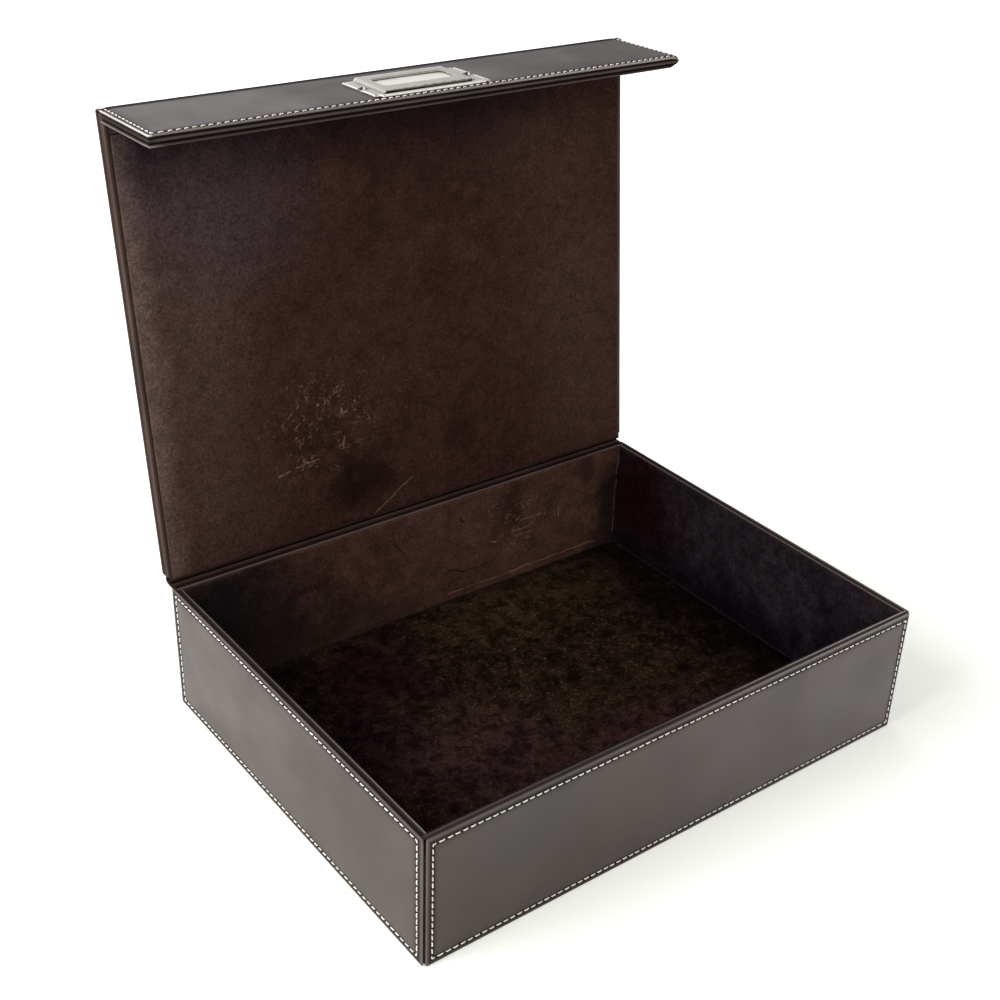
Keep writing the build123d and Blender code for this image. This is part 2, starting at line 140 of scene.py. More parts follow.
# The rear wall's suede is a lighter copy of the lid's, as painted light; the left wall's and the other
# walls' are darker copies, as painted shade.
LID_SUEDE = ("#3a241d", "#29150f", "#54433c")      # nap, crushed nap, lifted nap
REAR_SUEDE_LIT = ("#50362e", "#321d17", "#644d43")
LEFT_SUEDE_SHADED = ("#140d0f", "#080404", "#241c1d")
WALL_SUEDE_SHADED = ("#262024", "#171115", "#393235")
FLOOR_SUEDE = ("#251a12", "#080303", "#4a3d2c")
NAP_SHEEN = "#a08c84"
PALE_STROKES = "#8a7164"
PALE_SCRATCH = "#93786a"
DARK_SCRATCH = "#160b08"
THREAD = "#f2ede4"
THREAD_SHADE = "#c2b8aa"
NICKEL = "#d2cec8"
NICKEL_SMEARED = "#a8a299"
NICKEL_RUBBED_AND_LIT = "#fbf8f0"
GRIME_AND_SHADE = "#2a2420"
CARD = "#e2e1da"
CARD_DUST = "#d2d0c8"
FIBREBOARD = "#2c201b"
FIBREBOARD_DARK = "#1b1411"
STUDIO_PAPER = "#f2f2ea"
WHITE = "#ffffff"


# ---- Faces ----------------------------------------------------------------------------------
class Face:
    """A flat face of the box with its own coordinates in millimetres: u along, v up, w out."""

    def __init__(self, out, up, origin=(0, 0, 0)):
        self.out = Vector(out).normalized()
        self.up = Vector(up).normalized()
        self.right = self.up.cross(self.out)
        self.origin = Vector(origin)

    def place(self, points):
        """Rows of (u, v, w) in millimetres to rows of (x, y, z) in metres."""
        axes = np.array([self.right, self.up, self.out])
        return np.array(self.origin) + (np.asarray(points, float) * MM) @ axes

    def span(self, name):
        """Lowest and highest (u, v, w) of a CAD node."""
        rows = [v.co - self.origin for v in frame["nodes"][name].data.vertices]
        axes = np.array([self.right, self.up, self.out])
        local = np.array(rows) @ axes.T / MM
        return local.min(0), local.max(0)

    def onto(self, node):
        """The same face, moved out to a node's outer surface, with the node's (u0, v0, u1, v1)."""
        low, high = self.span(node)
        origin = self.origin + self.out * high[2] * MM
        return Face(self.out, self.up, origin), (low[0], low[1], high[0], high[1])


def widest_normal(node, towards):
    """Normal of a CAD node's widest face, on the side that looks towards a direction."""
    normal = max(frame["nodes"][node].data.polygons, key=lambda p: p.area).normal.copy()
    return normal if normal.dot(Vector(towards)) > 0 else -normal


def joint_point(name):
    return Vector(next(j["pos_m"] for j in frame["joints"] if j["name"] == name))


UP = Vector((0, 0, 1))
SIDES = {"front": (0, -1, 0), "rear": (0, 1, 0), "left": (-1, 0, 0), "right": (1, 0, 0)}
HINGE = joint_point("lid_hinge")
FOLD = joint_point("flap_fold")
LID_BACK = widest_normal("lid_board", (0, 1, 0))
LID_UP = Vector((1, 0, 0)).cross(LID_BACK)
FLAP_OUT = widest_normal("flap_lining", (0, 0, 1))
FLAP_DOWN = Vector((1, 0, 0)).cross(FLAP_OUT)
LID_INSIDE = Face(-LID_BACK, LID_UP, HINGE)
LID_OUTSIDE = Face(LID_BACK, LID_UP, HINGE)
FLAP_OUTSIDE = Face(FLAP_OUT, FLAP_DOWN, FOLD)
FLAP_INSIDE = Face(-FLAP_OUT, FLAP_DOWN, FOLD)


# ---- Meshes -----------------------------------------------------------------------------------
def make_piece(name, points, faces, material, body, nodes=(), smooth_under=50, marks=None):
    """Makes one named mesh from metres and faces, closed and smooth, and puts it on its body."""
    mesh = bpy.data.meshes.new(name)
    mesh.from_pydata(np.asarray(points).tolist(), [], faces)
    for mark, values in (marks or {}).items():
        layer = mesh.attributes.new(mark, "FLOAT", "POINT")
        layer.data.foreach_set("value", np.asarray(values, np.float32))
    work = bmesh.new()
    work.from_mesh(mesh)
    bmesh.ops.recalc_face_normals(work, faces=work.faces)
    work.to_mesh(mesh)
    work.free()
    mesh.shade_smooth()
    mesh.set_sharp_from_angle(angle=math.radians(smooth_under))
    mesh.materials.append(material)
    piece = bpy.data.objects.new(name, mesh)
    bpy.context.scene.collection.objects.link(piece)
    if body:
        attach(piece, body)
    if nodes:
        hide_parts(*nodes)
    return piece


def soft_noise(points, size, seed=0.0):
    """Smooth noise about -1 to 1 at rows of (u, v), with features of a size in millimetres."""
    rows = np.asarray(points, float) / size
    return np.array([noise.noise((u, v, seed)) for u, v in rows[:, :2]])


def smooth_step(values):
    t = np.clip(values, 0, 1)
    return t * t * (3 - 2 * t)


def turned_edge(thickness, bead):
    """Cross-section of a turned edge as (inset, height): up from the back and over the bead."""
    section = [(0.6 * thickness, -thickness), (0.16, -0.62 * thickness)]
    for k in range(5):
        angle = math.radians(22.5 * k)
        section.append((bead - bead * math.cos(angle), bead * math.sin(angle) - bead))
    return section


STITCHED_FIELD = [         # (inset, height) behind a panel's bead
    (1.3, -0.08), (2.0, -0.2), (2.8, -0.34), (3.5, -0.42), (4.0, -0.4), (SEAM_INSET, -SEAM_DEPTH),
    (5.0, -0.36), (5.5, -0.18), (6.3, -0.06), (8.2, -0.01), (10.8, 0.0),
]
PLAIN_FIELD = [(1.4, 0.0), (3.5, 0.0), (8.0, 0.0)]


STILL_EDGE = 0.8           # nearer to the edge than this, nothing moves with the seam


def moved(gap, seam):
    """A distance from an edge, stretched or squeezed so that SEAM_INSET comes to lie at seam."""
    if not STILL_EDGE < gap < EDGE_ZONE:
        return gap
    return float(np.interp(gap, (STILL_EDGE, SEAM_INSET, EDGE_ZONE), (STILL_EDGE, seam, EDGE_ZONE)))


def seam_shade(insets):
    """Wax and shadow beside the stitches: from behind the bead to just past the needle holes."""
    spots = (1.0, 2.2, 3.4, SEAM_INSET, 5.1, 5.8, 6.8)
    return np.interp(insets, spots, (0.0, 0.6, 0.85, 0.85, 0.95, 0.3, 0.0))


class Panel:
    """A flat rectangle with rounded corners, meshed as rings that follow its outline.

    Sides run anticlockwise from (u0, v0). A column is a distance along a side from its corner,
    measured on the ring whose inset is reference.
    """

    def __init__(self, rect, radii, reference=0.0, seam=None):
        u0, v0, u1, v1 = rect
        self.rect = rect
        self.seam = seam
        self.corners = [(u0, v0), (u1, v0), (u1, v1), (u0, v1)]
        self.lengths = [u1 - u0, v1 - v0, u1 - u0, v1 - v0]
        self.along = [(1, 0), (0, 1), (-1, 0), (0, -1)]
        self.inward = [(0, 1), (-1, 0), (0, -1), (1, 0)]
        self.radii = radii
        self.reference = reference

    def slide(self, side, column, inset):
        """Where a column's line meets the ring at this inset: lines fan out near the corners."""
        length = self.lengths[side]
        stretch = (EDGE_ZONE - inset) / (EDGE_ZONE - self.reference)
        if column < EDGE_ZONE:
            return inset + (column - self.reference) * stretch
        if column > length - EDGE_ZONE:
            return length - inset - (length - column - self.reference) * stretch
        return column

    def point(self, side, distance, inset):
        """(u, v) at a distance along a side and an inset, with the corners rounded."""
        length = self.lengths[side]
        for corner, sign in ((side, 1), ((side + 1) % 4, -1)):
            radius = self.radii[corner]
            gap = distance if sign == 1 else length - distance
            if inset < radius and gap < radius:
                turn = (radius - gap) / (radius - inset) * math.pi / 4
                gap = radius - (radius - inset) * math.sin(turn)
                inset = radius - (radius - inset) * math.cos(turn)
                distance = gap if sign == 1 else length - gap
                break
        (cu, cv), (au, av), (nu, nv) = self.corners[side], self.along[side], self.inward[side]
        return self.settled(cu + au * distance + nu * inset, cv + av * distance + nv * inset)

    def settled(self, u, v):
        """Moves a point with its side's seam, which lies nearer to the edge or farther in."""
        if self.seam is None:
            return u, v
        u0, v0, u1, v1 = self.rect
        bottom, right, top, left = self.seam
        u = u0 + moved(u - u0, left) if u - u0 < u1 - u else u1 - moved(u1 - u, right)
        v = v0 + moved(v - v0, bottom) if v - v0 < v1 - v else v1 - moved(v1 - v, top)
        return u, v

    def ring(self, columns, inset):
        spots = [(side, c) for side in range(4) for c in columns[side]]
        return [self.point(side, self.slide(side, c, inset), inset) for side, c in spots]


def stitch_marks(length, fold=None):
    """Stitch centres and needle holes along one side of a seam.

    A stitch bends round each corner. Where the side crosses a fold, a hole sits on the fold.
    """
    if fold is None:
        count = round(length / STITCH_PITCH)
        step = length / count
        return [k * step for k in range(count + 1)], [(k + 0.5) * step for k in range(count)]
    centres = []
    holes = []
    for start, sign, reach in ((0, 1, fold), (length, -1, length - fold)):
        count = round(reach / STITCH_PITCH - 0.5)
        step = reach / (count + 0.5)
        centres += [start + sign * k * step for k in range(count + 1)]
        holes += [start + sign * (k + 0.5) * step for k in range(count)]
    return sorted(centres), sorted(holes + [fold])


HOLE_COLUMNS = (-2.5, -1.1, -0.45, 0, 0.45, 1.1)   # about a needle hole; the first is its stitch's


def seam_columns(panel, side, holes, extra=()):
    """Columns of a stitched side: its corner, needle holes with two columns each side, and more."""
    length = panel.lengths[side]
    inset = panel.reference
    found = {round(inset, 3)}
    for hole in holes:
        found |= {round(inset + hole + step, 3) for step in HOLE_COLUMNS}
    found |= {round(inset + spot, 3) for spot in extra}
    return sorted(c for c in found if inset <= c < length - inset - 0.2)


def even_columns(panel, side, step):
    count = max(2, round(panel.lengths[side] / step))
    start = panel.reference
    run = panel.lengths[side] - 2 * start
    return [start + run * k / count for k in range(count)]


def fill_ring(ring, inner):
    """Triangles inside a closed ring of (u, v), through the inner points; indices ring first."""
    count = len(ring)
    spots = [Vector(p) for p in ring] + [Vector(p) for p in inner]
    edges = [(k, (k + 1) % count) for k in range(count)]
    made = delaunay_2d_cdt(spots, edges, [], 1, 1e-6, True)
    names = [origin[0] if origin else -1 for origin in made[3]]
    faces = [[names[k] for k in face] for face in made[2]]
    return [face for face in faces if min(face) >= 0]


def inner_points(ring, spacing, rows):
    """A grid of points inside a rectangular ring, with rows of their own along a fold."""
    low = np.min(ring, axis=0) + spacing * 0.6
    high = np.max(ring, axis=0) - spacing * 0.6
    across = np.linspace(low[0], high[0], max(2, round((high[0] - low[0]) / spacing) + 1))
    heights = np.linspace(low[1], high[1], max(2, round((high[1] - low[1]) / spacing) + 1))
    if len(rows):
        heights = [v for v in heights if min(abs(v - row) for row in rows) > spacing * 0.4]
        heights = sorted(list(heights) + list(rows))
    return [(u, v) for v in heights for u in across]


def ring_faces(rings, count, start=0):
    """Quads between closed rings of points that follow one another."""
    faces = []
    for r in range(rings - 1):
        for k in range(count):
            a = start + r * count + k
            b = start + r * count + (k + 1) % count
            faces.append((a, b, b + count, a + count))
    return faces


def tube_faces(rings, count, start=0):
    """Faces of a closed tube: one end, its sides and the other end."""
    last = start + (rings - 1) * count
    ends = tuple(start + k for k in reversed(range(count))), tuple(last + k for k in range(count))
    return [ends[0]] + ring_faces(rings, count, start) + [ends[1]]


# Paler colour over a bead: partly wear, partly painted highlight where the bead catches light.
BEAD_RUB_AND_HIGHLIGHT = (0, 0.1, 0.3, 0.8, 1, 0.8, 0.3)     # from behind a turned edge over to its face
BACK_COLUMNS = 7                               # points on each of the back's own rows


def slab(name, place, rect, thickness, field, material, body, nodes, columns=None,
         radii=(PANEL_CORNER_R,) * 4, reference=0.0, bead=BEAD, spacing=10.0, rows=(),
         swell=0.0, swell_size=60.0, seed=0.0, holes=None, seam=None, wear_and_painted_light=lambda spots: 0.1,
         groove=0.8, crease=lambda spots: 0.0):
    """A closed sheet with turned edges; field gives its face's height at each inset."""
    panel = Panel(rect, radii, reference, seam)
    if columns is None:
        columns = [even_columns(panel, side, spacing) for side in range(4)]
    edge = turned_edge(thickness, bead)
    section = edge + field
    rings = [panel.ring(columns, inset) for inset, height in section]
    count = len(rings[0])
    inner = inner_points(rings[-1], spacing, rows)
    spots = np.array([p for ring in rings for p in ring] + inner)
    ring_insets, ring_heights = np.transpose(section)
    insets = np.append(np.repeat(ring_insets, count), np.full(len(inner), EDGE_ZONE))
    heights = np.append(np.repeat(ring_heights, count), np.full(len(inner), ring_heights[-1]))
    on_face = np.arange(len(spots)) >= len(edge) * count
    heights += smooth_step((insets - 1.0) / 8.0) * on_face * swell * soft_noise(spots, swell_size, seed)
    rub_and_highlight = np.zeros(len(spots))
    rub_and_highlight[:len(BEAD_RUB_AND_HIGHLIGHT) * count] = np.repeat(BEAD_RUB_AND_HIGHLIGHT, count)
    rub_and_highlight *= wear_and_painted_light(spots)
    # The ring behind the edge is painted near-black, as shade in the gaps between panels.
    shade = crease(spots) + np.where(np.arange(len(spots)) < count, 1.0, 0.0)
    if holes is not None:
        near = hole_closeness(columns, holes, reference)
        across = np.exp(-((insets - SEAM_INSET) / HOLE_WIDTH) ** 2) * on_face
        along = np.append(np.tile(near, len(section)), np.zeros(len(inner)))
        heights -= HOLE_DEPTH * across * along
        # Painted shade, with some wax, darkens the seam's groove and its needle holes.
        shade += groove * seam_shade(insets) * on_face + 0.3 * across * along
    last = (len(section) - 1) * count
    faces = ring_faces(len(section), count)
    faces += [[last + k for k in face] for face in fill_ring(rings[-1], inner)]
    back = [(u, row) for row in rows for u in np.linspace(rect[0], rect[2], BACK_COLUMNS + 2)[1:-1]]
    for face in fill_ring(rings[0], back):
        faces.append([k if k < count else len(spots) - count + k for k in reversed(face)])
    points = [(u, v, w) for (u, v), w in zip(spots, heights)]
    points += [(u, v, -thickness) for u, v in back]
    tail = np.zeros(len(back))
    marks = {"rub_and_highlight": np.append(rub_and_highlight, tail), "shade": np.append(np.clip(shade, 0, 1), tail)}
    return make_piece(name, place(points), faces, material, body, nodes, marks=marks)


def hole_closeness(columns, holes, reference):
    """For every column of a ring, 1 at a needle hole falling to 0 within a millimetre."""
    near = []
    for side in range(4):
        for column in columns[side]:
            gap = min(abs(column - reference - hole) for hole in holes[side])
            near.append(math.exp(-((gap / HOLE_REACH) ** 2)))
    return np.array(near)


# ---- Seams --------------------------------------------------------------------------------------
def seam_point(panel, side, distance):
    """(u, v) on the seam; past a corner it goes on along the next side."""
    length = panel.lengths[side] - 2 * SEAM_INSET
    if distance < 0:
        side = (side - 1) % 4
        distance += panel.lengths[side] - 2 * SEAM_INSET
    elif distance > length:
        distance -= length
        side = (side + 1) % 4
    return panel.point(side, SEAM_INSET + distance, SEAM_INSET)


STITCH_RINGS = 9
STITCH_SIDES = 8
STITCH_LENGTHS = (0.96, 1.03)      # how much longer or shorter than usual a stitch can be
STITCH_SLANTS = (0.02, 0.12)       # how far its ends lie off the seam
STITCH_SHIFT = 0.1
STITCH_LIFT = 0.04
STITCH_DIVE = 0.3                  # how far its ends go down into the holes


def one_stitch(panel, side, centre, pitch, chance, cover):
    """Rows of (u, v, w) round one stitch: a round thread that dives into a hole at each end."""
    steps = np.linspace(-1, 1, STITCH_RINGS)
    half = pitch / 2 * cover * chance.uniform(*STITCH_LENGTHS)
    shift = chance.uniform(-STITCH_SHIFT, STITCH_SHIFT)
    line = np.array([seam_point(panel, side, centre + shift + half * t) for t in steps])
    line[1:-1] = (line[:-2] + 2 * line[1:-1] + line[2:]) / 4
    run = np.gradient(line, axis=0)
    run /= np.linalg.norm(run, axis=1)[:, None]
    sideways = np.stack([-run[:, 1], run[:, 0]], axis=1)
    slant = chance.uniform(*STITCH_SLANTS)
    line = line + sideways * (slant * steps)[:, None]
    crown = THREAD_PROUD - THREAD_H / 2 + chance.uniform(-STITCH_LIFT, STITCH_LIFT)
    height = crown - STITCH_DIVE * np.abs(steps) ** 6
    plump = 1 - 0.5 * np.abs(steps) ** 8
    rows = []
    for k in range(STITCH_RINGS):
        for j in range(STITCH_SIDES):
            angle = 2 * math.pi * j / STITCH_SIDES
            out = math.cos(angle) * THREAD_W / 2 * plump[k]
            rise = math.sin(angle) * THREAD_H / 2 * plump[k]
            spot = line[k] + sideways[k] * out
            rows.append((spot[0], spot[1], height[k] + rise))
    return rows





def stitching(name, place, panel, picks, body, seed, covers=(STITCH_COVER, STITCH_COVER)):
    """One mesh of separate stitches; picks are (side, centre, pitch), covers are along u and v."""
    chance = random.Random(seed)
    rows = []
    faces = []
    tones = []
    for side, centre, pitch in picks:
        faces += tube_faces(STITCH_RINGS, STITCH_SIDES, len(rows))
        stitch = one_stitch(panel, side, centre, pitch, chance, covers[side % 2])
        rows += stitch
        tones += [chance.random()] * len(stitch)
    make_piece(name + "_thread", place(rows), faces, waxed_thread, body, (name,), 80,
               {"tone": tones})


# ---- Swept strips -------------------------------------------------------------------------------
def sweep(name, place, path, section, material, body, nodes, ripple=0.0, ripple_size=12.0,
          seed=0.0, reshape=None, smooth_under=50, marks=None, wear_and_painted_light=None):
    """A closed section of (inset, height) carried along a path of (u, v, inward u, inward v).

    Marks are given for each point of the section, wear and painted light for each point of the made strip.
    """
    rows = []
    for u, v, nu, nv in path:
        rows += [(u + nu * inset, v + nv * inset, height) for inset, height in section]
    rows = np.array(rows, float)
    if ripple:
        along = np.repeat(np.arange(len(path)) * step_of(path), len(section))
        across = np.tile(np.arange(len(section)) * 1.7, len(path))
        rows[:, 2] += ripple * soft_noise(np.stack([along, across * 2], 1), ripple_size, seed)
    if reshape:
        rows = reshape(rows)
    spread = {mark: np.tile(values, len(path)) for mark, values in (marks or {}).items()}
    for mark, more in (wear_and_painted_light or {}).items():
        spread[mark] = np.maximum(spread.get(mark, 0), more(rows))
    faces = tube_faces(len(path), len(section))
    return make_piece(name, place(rows), faces, material, body, nodes, smooth_under, spread)


def step_of(path):
    return math.dist(path[0][:2], path[1][:2])


def straight_path(start, end, inward, step=3.0):
    count = max(2, round(math.dist(start, end) / step))
    path = []
    for k in range(count + 1):
        t = k / count
        spot = start[0] + (end[0] - start[0]) * t, start[1] + (end[1] - start[1]) * t
        path.append((*spot, *inward))
    return path


# ---- Materials ----------------------------------------------------------------------------------
def linear(code):
    """An sRGB hex colour as a linear one."""
    parts = [int(code[k:k + 2], 16) / 255 for k in (1, 3, 5)]
    return tuple(p / 12.92 if p <= 0.04045 else ((p + 0.055) / 1.055) ** 2.4 for p in parts) + (1.0,)


def feed(tree, made, inputs):
    """Gives a node's sockets values or other nodes' outputs."""
    for socket, value in inputs.items():
        if isinstance(value, bpy.types.NodeSocket):
            tree.links.new(value, made.inputs[socket])
        else:
            made.inputs[socket].default_value = value


def node(tree, kind, inputs=(), **settings):
    """Adds a shader node with its settings and inputs."""
    made = tree.nodes.new("ShaderNode" + kind)
    for name, value in settings.items():
        setattr(made, name, value)
    feed(tree, made, dict(inputs))
    return made


MIX_FACTOR, MIX_A, MIX_B, MIX_COLOUR = 0, 6, 7, 2
SCALE_BY = 3               # socket of a vector's factor
LENGTHS = ("DOT_PRODUCT", "DISTANCE", "LENGTH")    # vector maths that gives a number


def pattern(tree, place, size, detail, **more):
    """Noise with features of a size in millimetres."""
    inputs = {"Vector": place, "Scale": 1 / (size * MM), "Detail": float(detail), **more}
    return node(tree, "TexNoise", inputs).outputs[0]


def ranged(tree, value, low, high, start=0.0, end=1.0, kind="LINEAR"):
    """Goes from start to end as a value goes from low to high, and no farther."""
    inputs = {0: value, 1: low, 2: high, 3: start, 4: end}
    return node(tree, "MapRange", inputs, interpolation_type=kind).outputs[0]


def maths(tree, operation, *values):
    return node(tree, "Math", dict(enumerate(values)), operation=operation).outputs[0]


def vector_maths(tree, operation, *values):
    sockets = (0, SCALE_BY) if operation == "SCALE" else range(len(values))
    made = node(tree, "VectorMath", dict(zip(sockets, values)), operation=operation)
    return made.outputs["Value" if operation in LENGTHS else "Vector"]


def mixed(tree, factor, first, second):
    """Goes from one colour to another with a factor; a text stands for an sRGB colour."""
    colours = [linear(c) if isinstance(c, str) else c for c in (first, second)]
    inputs = {MIX_FACTOR: factor, MIX_A: colours[0], MIX_B: colours[1]}
    return node(tree, "Mix", inputs, data_type="RGBA").outputs[MIX_COLOUR]


def mark(tree, name):
    """What the mesh's own mark says, from 0 to 1."""
    return node(tree, "Attribute", attribute_name=name).outputs["Fac"]


def relief(tree, height, strength, depth):
    """Bumps from a pattern, as deep as so many millimetres."""
    inputs = {"Strength": strength, "Distance": depth * MM, "Height": height}
    return node(tree, "Bump", inputs).outputs[0]


def new_material(name):
    """An empty material, its tree, its surface shader and its object coordinates."""
    material = bpy.data.materials.new(name)
    material.use_nodes = True
    tree = material.node_tree
    tree.nodes.clear()
    shader = node(tree, "BsdfPrincipled")
    node(tree, "OutputMaterial", {0: shader.outputs[0]})
    return material, tree, shader, node(tree, "TexCoord").outputs["Object"]


def leather(name, colour, dark, rubbed_and_lit_colour, roughness, shine):
    """Smooth aniline calf, waxed and plated: deep brown, soft sheen, pores hardly to be seen.

    The dye lies a little unevenly. The rub mark lightens turned edges and ridges, partly as wear
    and partly as painted highlight; the shade mark paints near-black shade into seams, creases,
    gutters and gaps, with some dark wax in the seams, and dulls the sheen there. Where
    the plating is thinner, the sheen turns from a warm tint to a neutral one.
    """
    material, tree, shader, place = new_material(name)
    cloud = pattern(tree, place, 45, 4)
    dyed = mixed(tree, ranged(tree, cloud, 0.3, 0.7), dark, colour)
    worn_and_lit = maths(tree, "MULTIPLY", mark(tree, "rub_and_highlight"), ranged(tree, cloud, 0.3, 0.7, 0.75, 1.05))
    shade = mark(tree, "shade")
    wax_and_shade = maths(tree, "MULTIPLY", shade, 0.9)
    gloss = ranged(tree, cloud, 0.3, 0.7, roughness + 0.08, roughness - 0.07)
    thin_plating = ranged(tree, pattern(tree, place, 75, 2), 0.45, 0.68)
    feed(tree, shader, {
        "Base Color": mixed(tree, wax_and_shade, mixed(tree, worn_and_lit, dyed, rubbed_and_lit_colour), WAX_AND_PAINTED_SHADE),
        "Roughness": maths(tree, "MULTIPLY_ADD", shade, 0.4, gloss),
        "Normal": relief(tree, pattern(tree, place, 0.9, 3), 0.25, 0.03),
        "Specular IOR Level": ranged(tree, shade, 0.0, 1.0, shine, shine * 0.12),
        "Specular Tint": mixed(tree, thin_plating, WARM_SHEEN, NEUTRAL_SHEEN),
    })
    return material


def suede_lining(name, colour, crushed, light, veils=(), strokes=(), scratches=(), lies=1,
                 mottled=0.15, flecked=0.35, gloss=0.08):
    """Pigskin suede glued to card: matt, nearly black in the shade, brushed every way.

    Crushed nap shows as dark blots and mottling, lifted nap as grain and pale flecks. Each veil
    tints the nap darker or lighter about a place: most are painted shade in corners, along walls and
    under the flap, some are painted light and sheen, the rest are patches of the nap. Strokes are
    groups of short lines about a place, at right angles to the axis that lies across the sheet; each
    scratch runs between two places.
    """
    material, tree, shader, place = new_material(name)
    blots = pattern(tree, place, 26, 9, Roughness=0.78, Distortion=0.25)
    nap = mixed(tree, ranged(tree, blots, 0.32, 0.66), crushed, colour)
    specks = pattern(tree, place, 2.2, 6, Roughness=0.75)
    nap = mixed(tree, ranged(tree, specks, 0.54, 0.7, 0.0, flecked), nap, light)
    for centre, reach, strength, tint in veils:
        nap = mixed(tree, veil(tree, place, centre, reach, strength, blots), nap, tint)
    mottling = pattern(tree, place, 8, 5, Roughness=0.72, Distortion=0.5)
    nap = scaled(tree, nap, ranged(tree, mottling, 0.4, 0.6, 1 - mottled, 1 + mottled))
    lines = short_lines(tree, place, lies) if strokes else None
    for centre, reach, strength, tint in strokes:
        here = veil(tree, place, centre, reach, strength, blots)
        nap = mixed(tree, maths(tree, "MULTIPLY", lines, here), nap, tint)
    for start, end, width, strength, tint in scratches:
        nap = mixed(tree, scratch(tree, place, start, end, width, strength), nap, tint)
    nap = scaled(tree, nap, ranged(tree, pattern(tree, place, 1.3, 4), 0.3, 0.7, 0.6, 1.42))
    fibres = maths(tree, "MULTIPLY_ADD", specks, 0.6, pattern(tree, place, 0.7, 3))
    feed(tree, shader, {
        "Base Color": nap,
        "Normal": relief(tree, fibres, 0.6, 0.18),
        "Roughness": 0.95,
        "Specular IOR Level": gloss,
        "Sheen Weight": gloss / 2,
        "Sheen Roughness": 0.5,
        "Sheen Tint": linear(NAP_SHEEN),
    })
    return material


def scaled(tree, colour, factor):
    return vector_maths(tree, "SCALE", colour, factor)


def short_lines(tree, place, lies):
    """Short broken lines in three directions across a sheet."""
    found = None
    for turn in (20, 75, 140):
        rotation = [0.0, 0.0, 0.0]
        rotation[lies] = math.radians(turn)
        inputs = {"Vector": place, "Rotation": rotation, "Scale": (4.0, 1.0, 1.0)}
        turned = node(tree, "Mapping", inputs, vector_type="TEXTURE").outputs[0]
        line = pattern(tree, turned, 1.2, 3)
        found = maths(tree, "MAXIMUM", found, line) if found else line
    unbroken = ranged(tree, pattern(tree, place, 7, 6), 0.46, 0.56)
    return maths(tree, "MULTIPLY", ranged(tree, found, 0.6, 0.7), unbroken)


def scratch(tree, place, start, end, width, strength):
    """Strength along a ragged scratch between two places in metres; its width is in millimetres."""
    run = Vector(end) - Vector(start)
    shake = node(tree, "TexNoise", {"Vector": place, "Scale": 1 / (9 * MM), "Detail": 3.0})
    shaken = vector_maths(tree, "MULTIPLY_ADD", shake.outputs["Color"], (3 * MM,) * 3, place)
    shaken_start = Vector(start) + Vector((1.5, 1.5, 1.5)) * MM
    from_start = vector_maths(tree, "SUBTRACT", shaken, tuple(shaken_start))
    share = vector_maths(tree, "DOT_PRODUCT", from_start, tuple(run / run.length_squared))
    clipped = node(tree, "Clamp", {0: share}).outputs[0]
    nearest = vector_maths(tree, "SCALE", tuple(run), clipped)
    beside = vector_maths(tree, "DISTANCE", from_start, nearest)
    return ranged(tree, beside, 0.2 * width * MM, width * MM, strength, 0.0, "SMOOTHSTEP")


def veil(tree, place, centre, reach, strength, patches):
    """Strength about a centre, fading out at reach (both x, y, z in metres), with a ragged edge."""
    from_centre = vector_maths(tree, "SUBTRACT", place, centre)
    shares = vector_maths(tree, "MULTIPLY", from_centre, tuple(1 / size for size in reach))
    far = vector_maths(tree, "LENGTH", shares)
    ragged = maths(tree, "MULTIPLY_ADD", patches, 1.3, far)
    return ranged(tree, ragged, 0.85, 1.75, strength, 0.0, "SMOOTHSTEP")


def lid_spot(along, up):
    """A place on the lid's lining, in metres, from millimetres along and up the lid."""
    return tuple(HINGE + Vector((along * MM, 0, 0)) + LID_UP * up * MM)


def rear_spot(along, up):
    """A place on the rear wall's lining, in metres, from millimetres along and up."""
    return along * MM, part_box("rear_lining")[0].y, up * MM


def veils_at(spot, rows, deep=None):
    """Veils or strokes from rows of along, up, reach along, reach up (mm), strength and tint."""
    made = []
    for along, up, wide, high, strength, tint in rows:
        reach = (wide * MM, (deep or high) * MM, high * MM)
        made.append((spot(along, up), reach, strength, tint))
    return made


def scratches_at(spot, rows):
    """Scratches from rows of both ends' along and up, width (mm), strength and tint."""
    return [(spot(*row[:2]), spot(*row[2:4]), *row[4:]) for row in rows]


def linen_thread():
    """Waxed linen sewing thread, two plies: off-white, slightly glossy, soiled here and there."""
    material, tree, shader, place = new_material("waxed_linen_thread")
    plies = pattern(tree, place, 0.6, 2)
    soil = maths(tree, "MULTIPLY", mark(tree, "tone"), plies)
    feed(tree, shader, {
        "Base Color": mixed(tree, soil, THREAD, THREAD_SHADE),
        "Normal": relief(tree, plies, 0.5, 0.08),
        "Roughness": 0.6,
    })
    return material


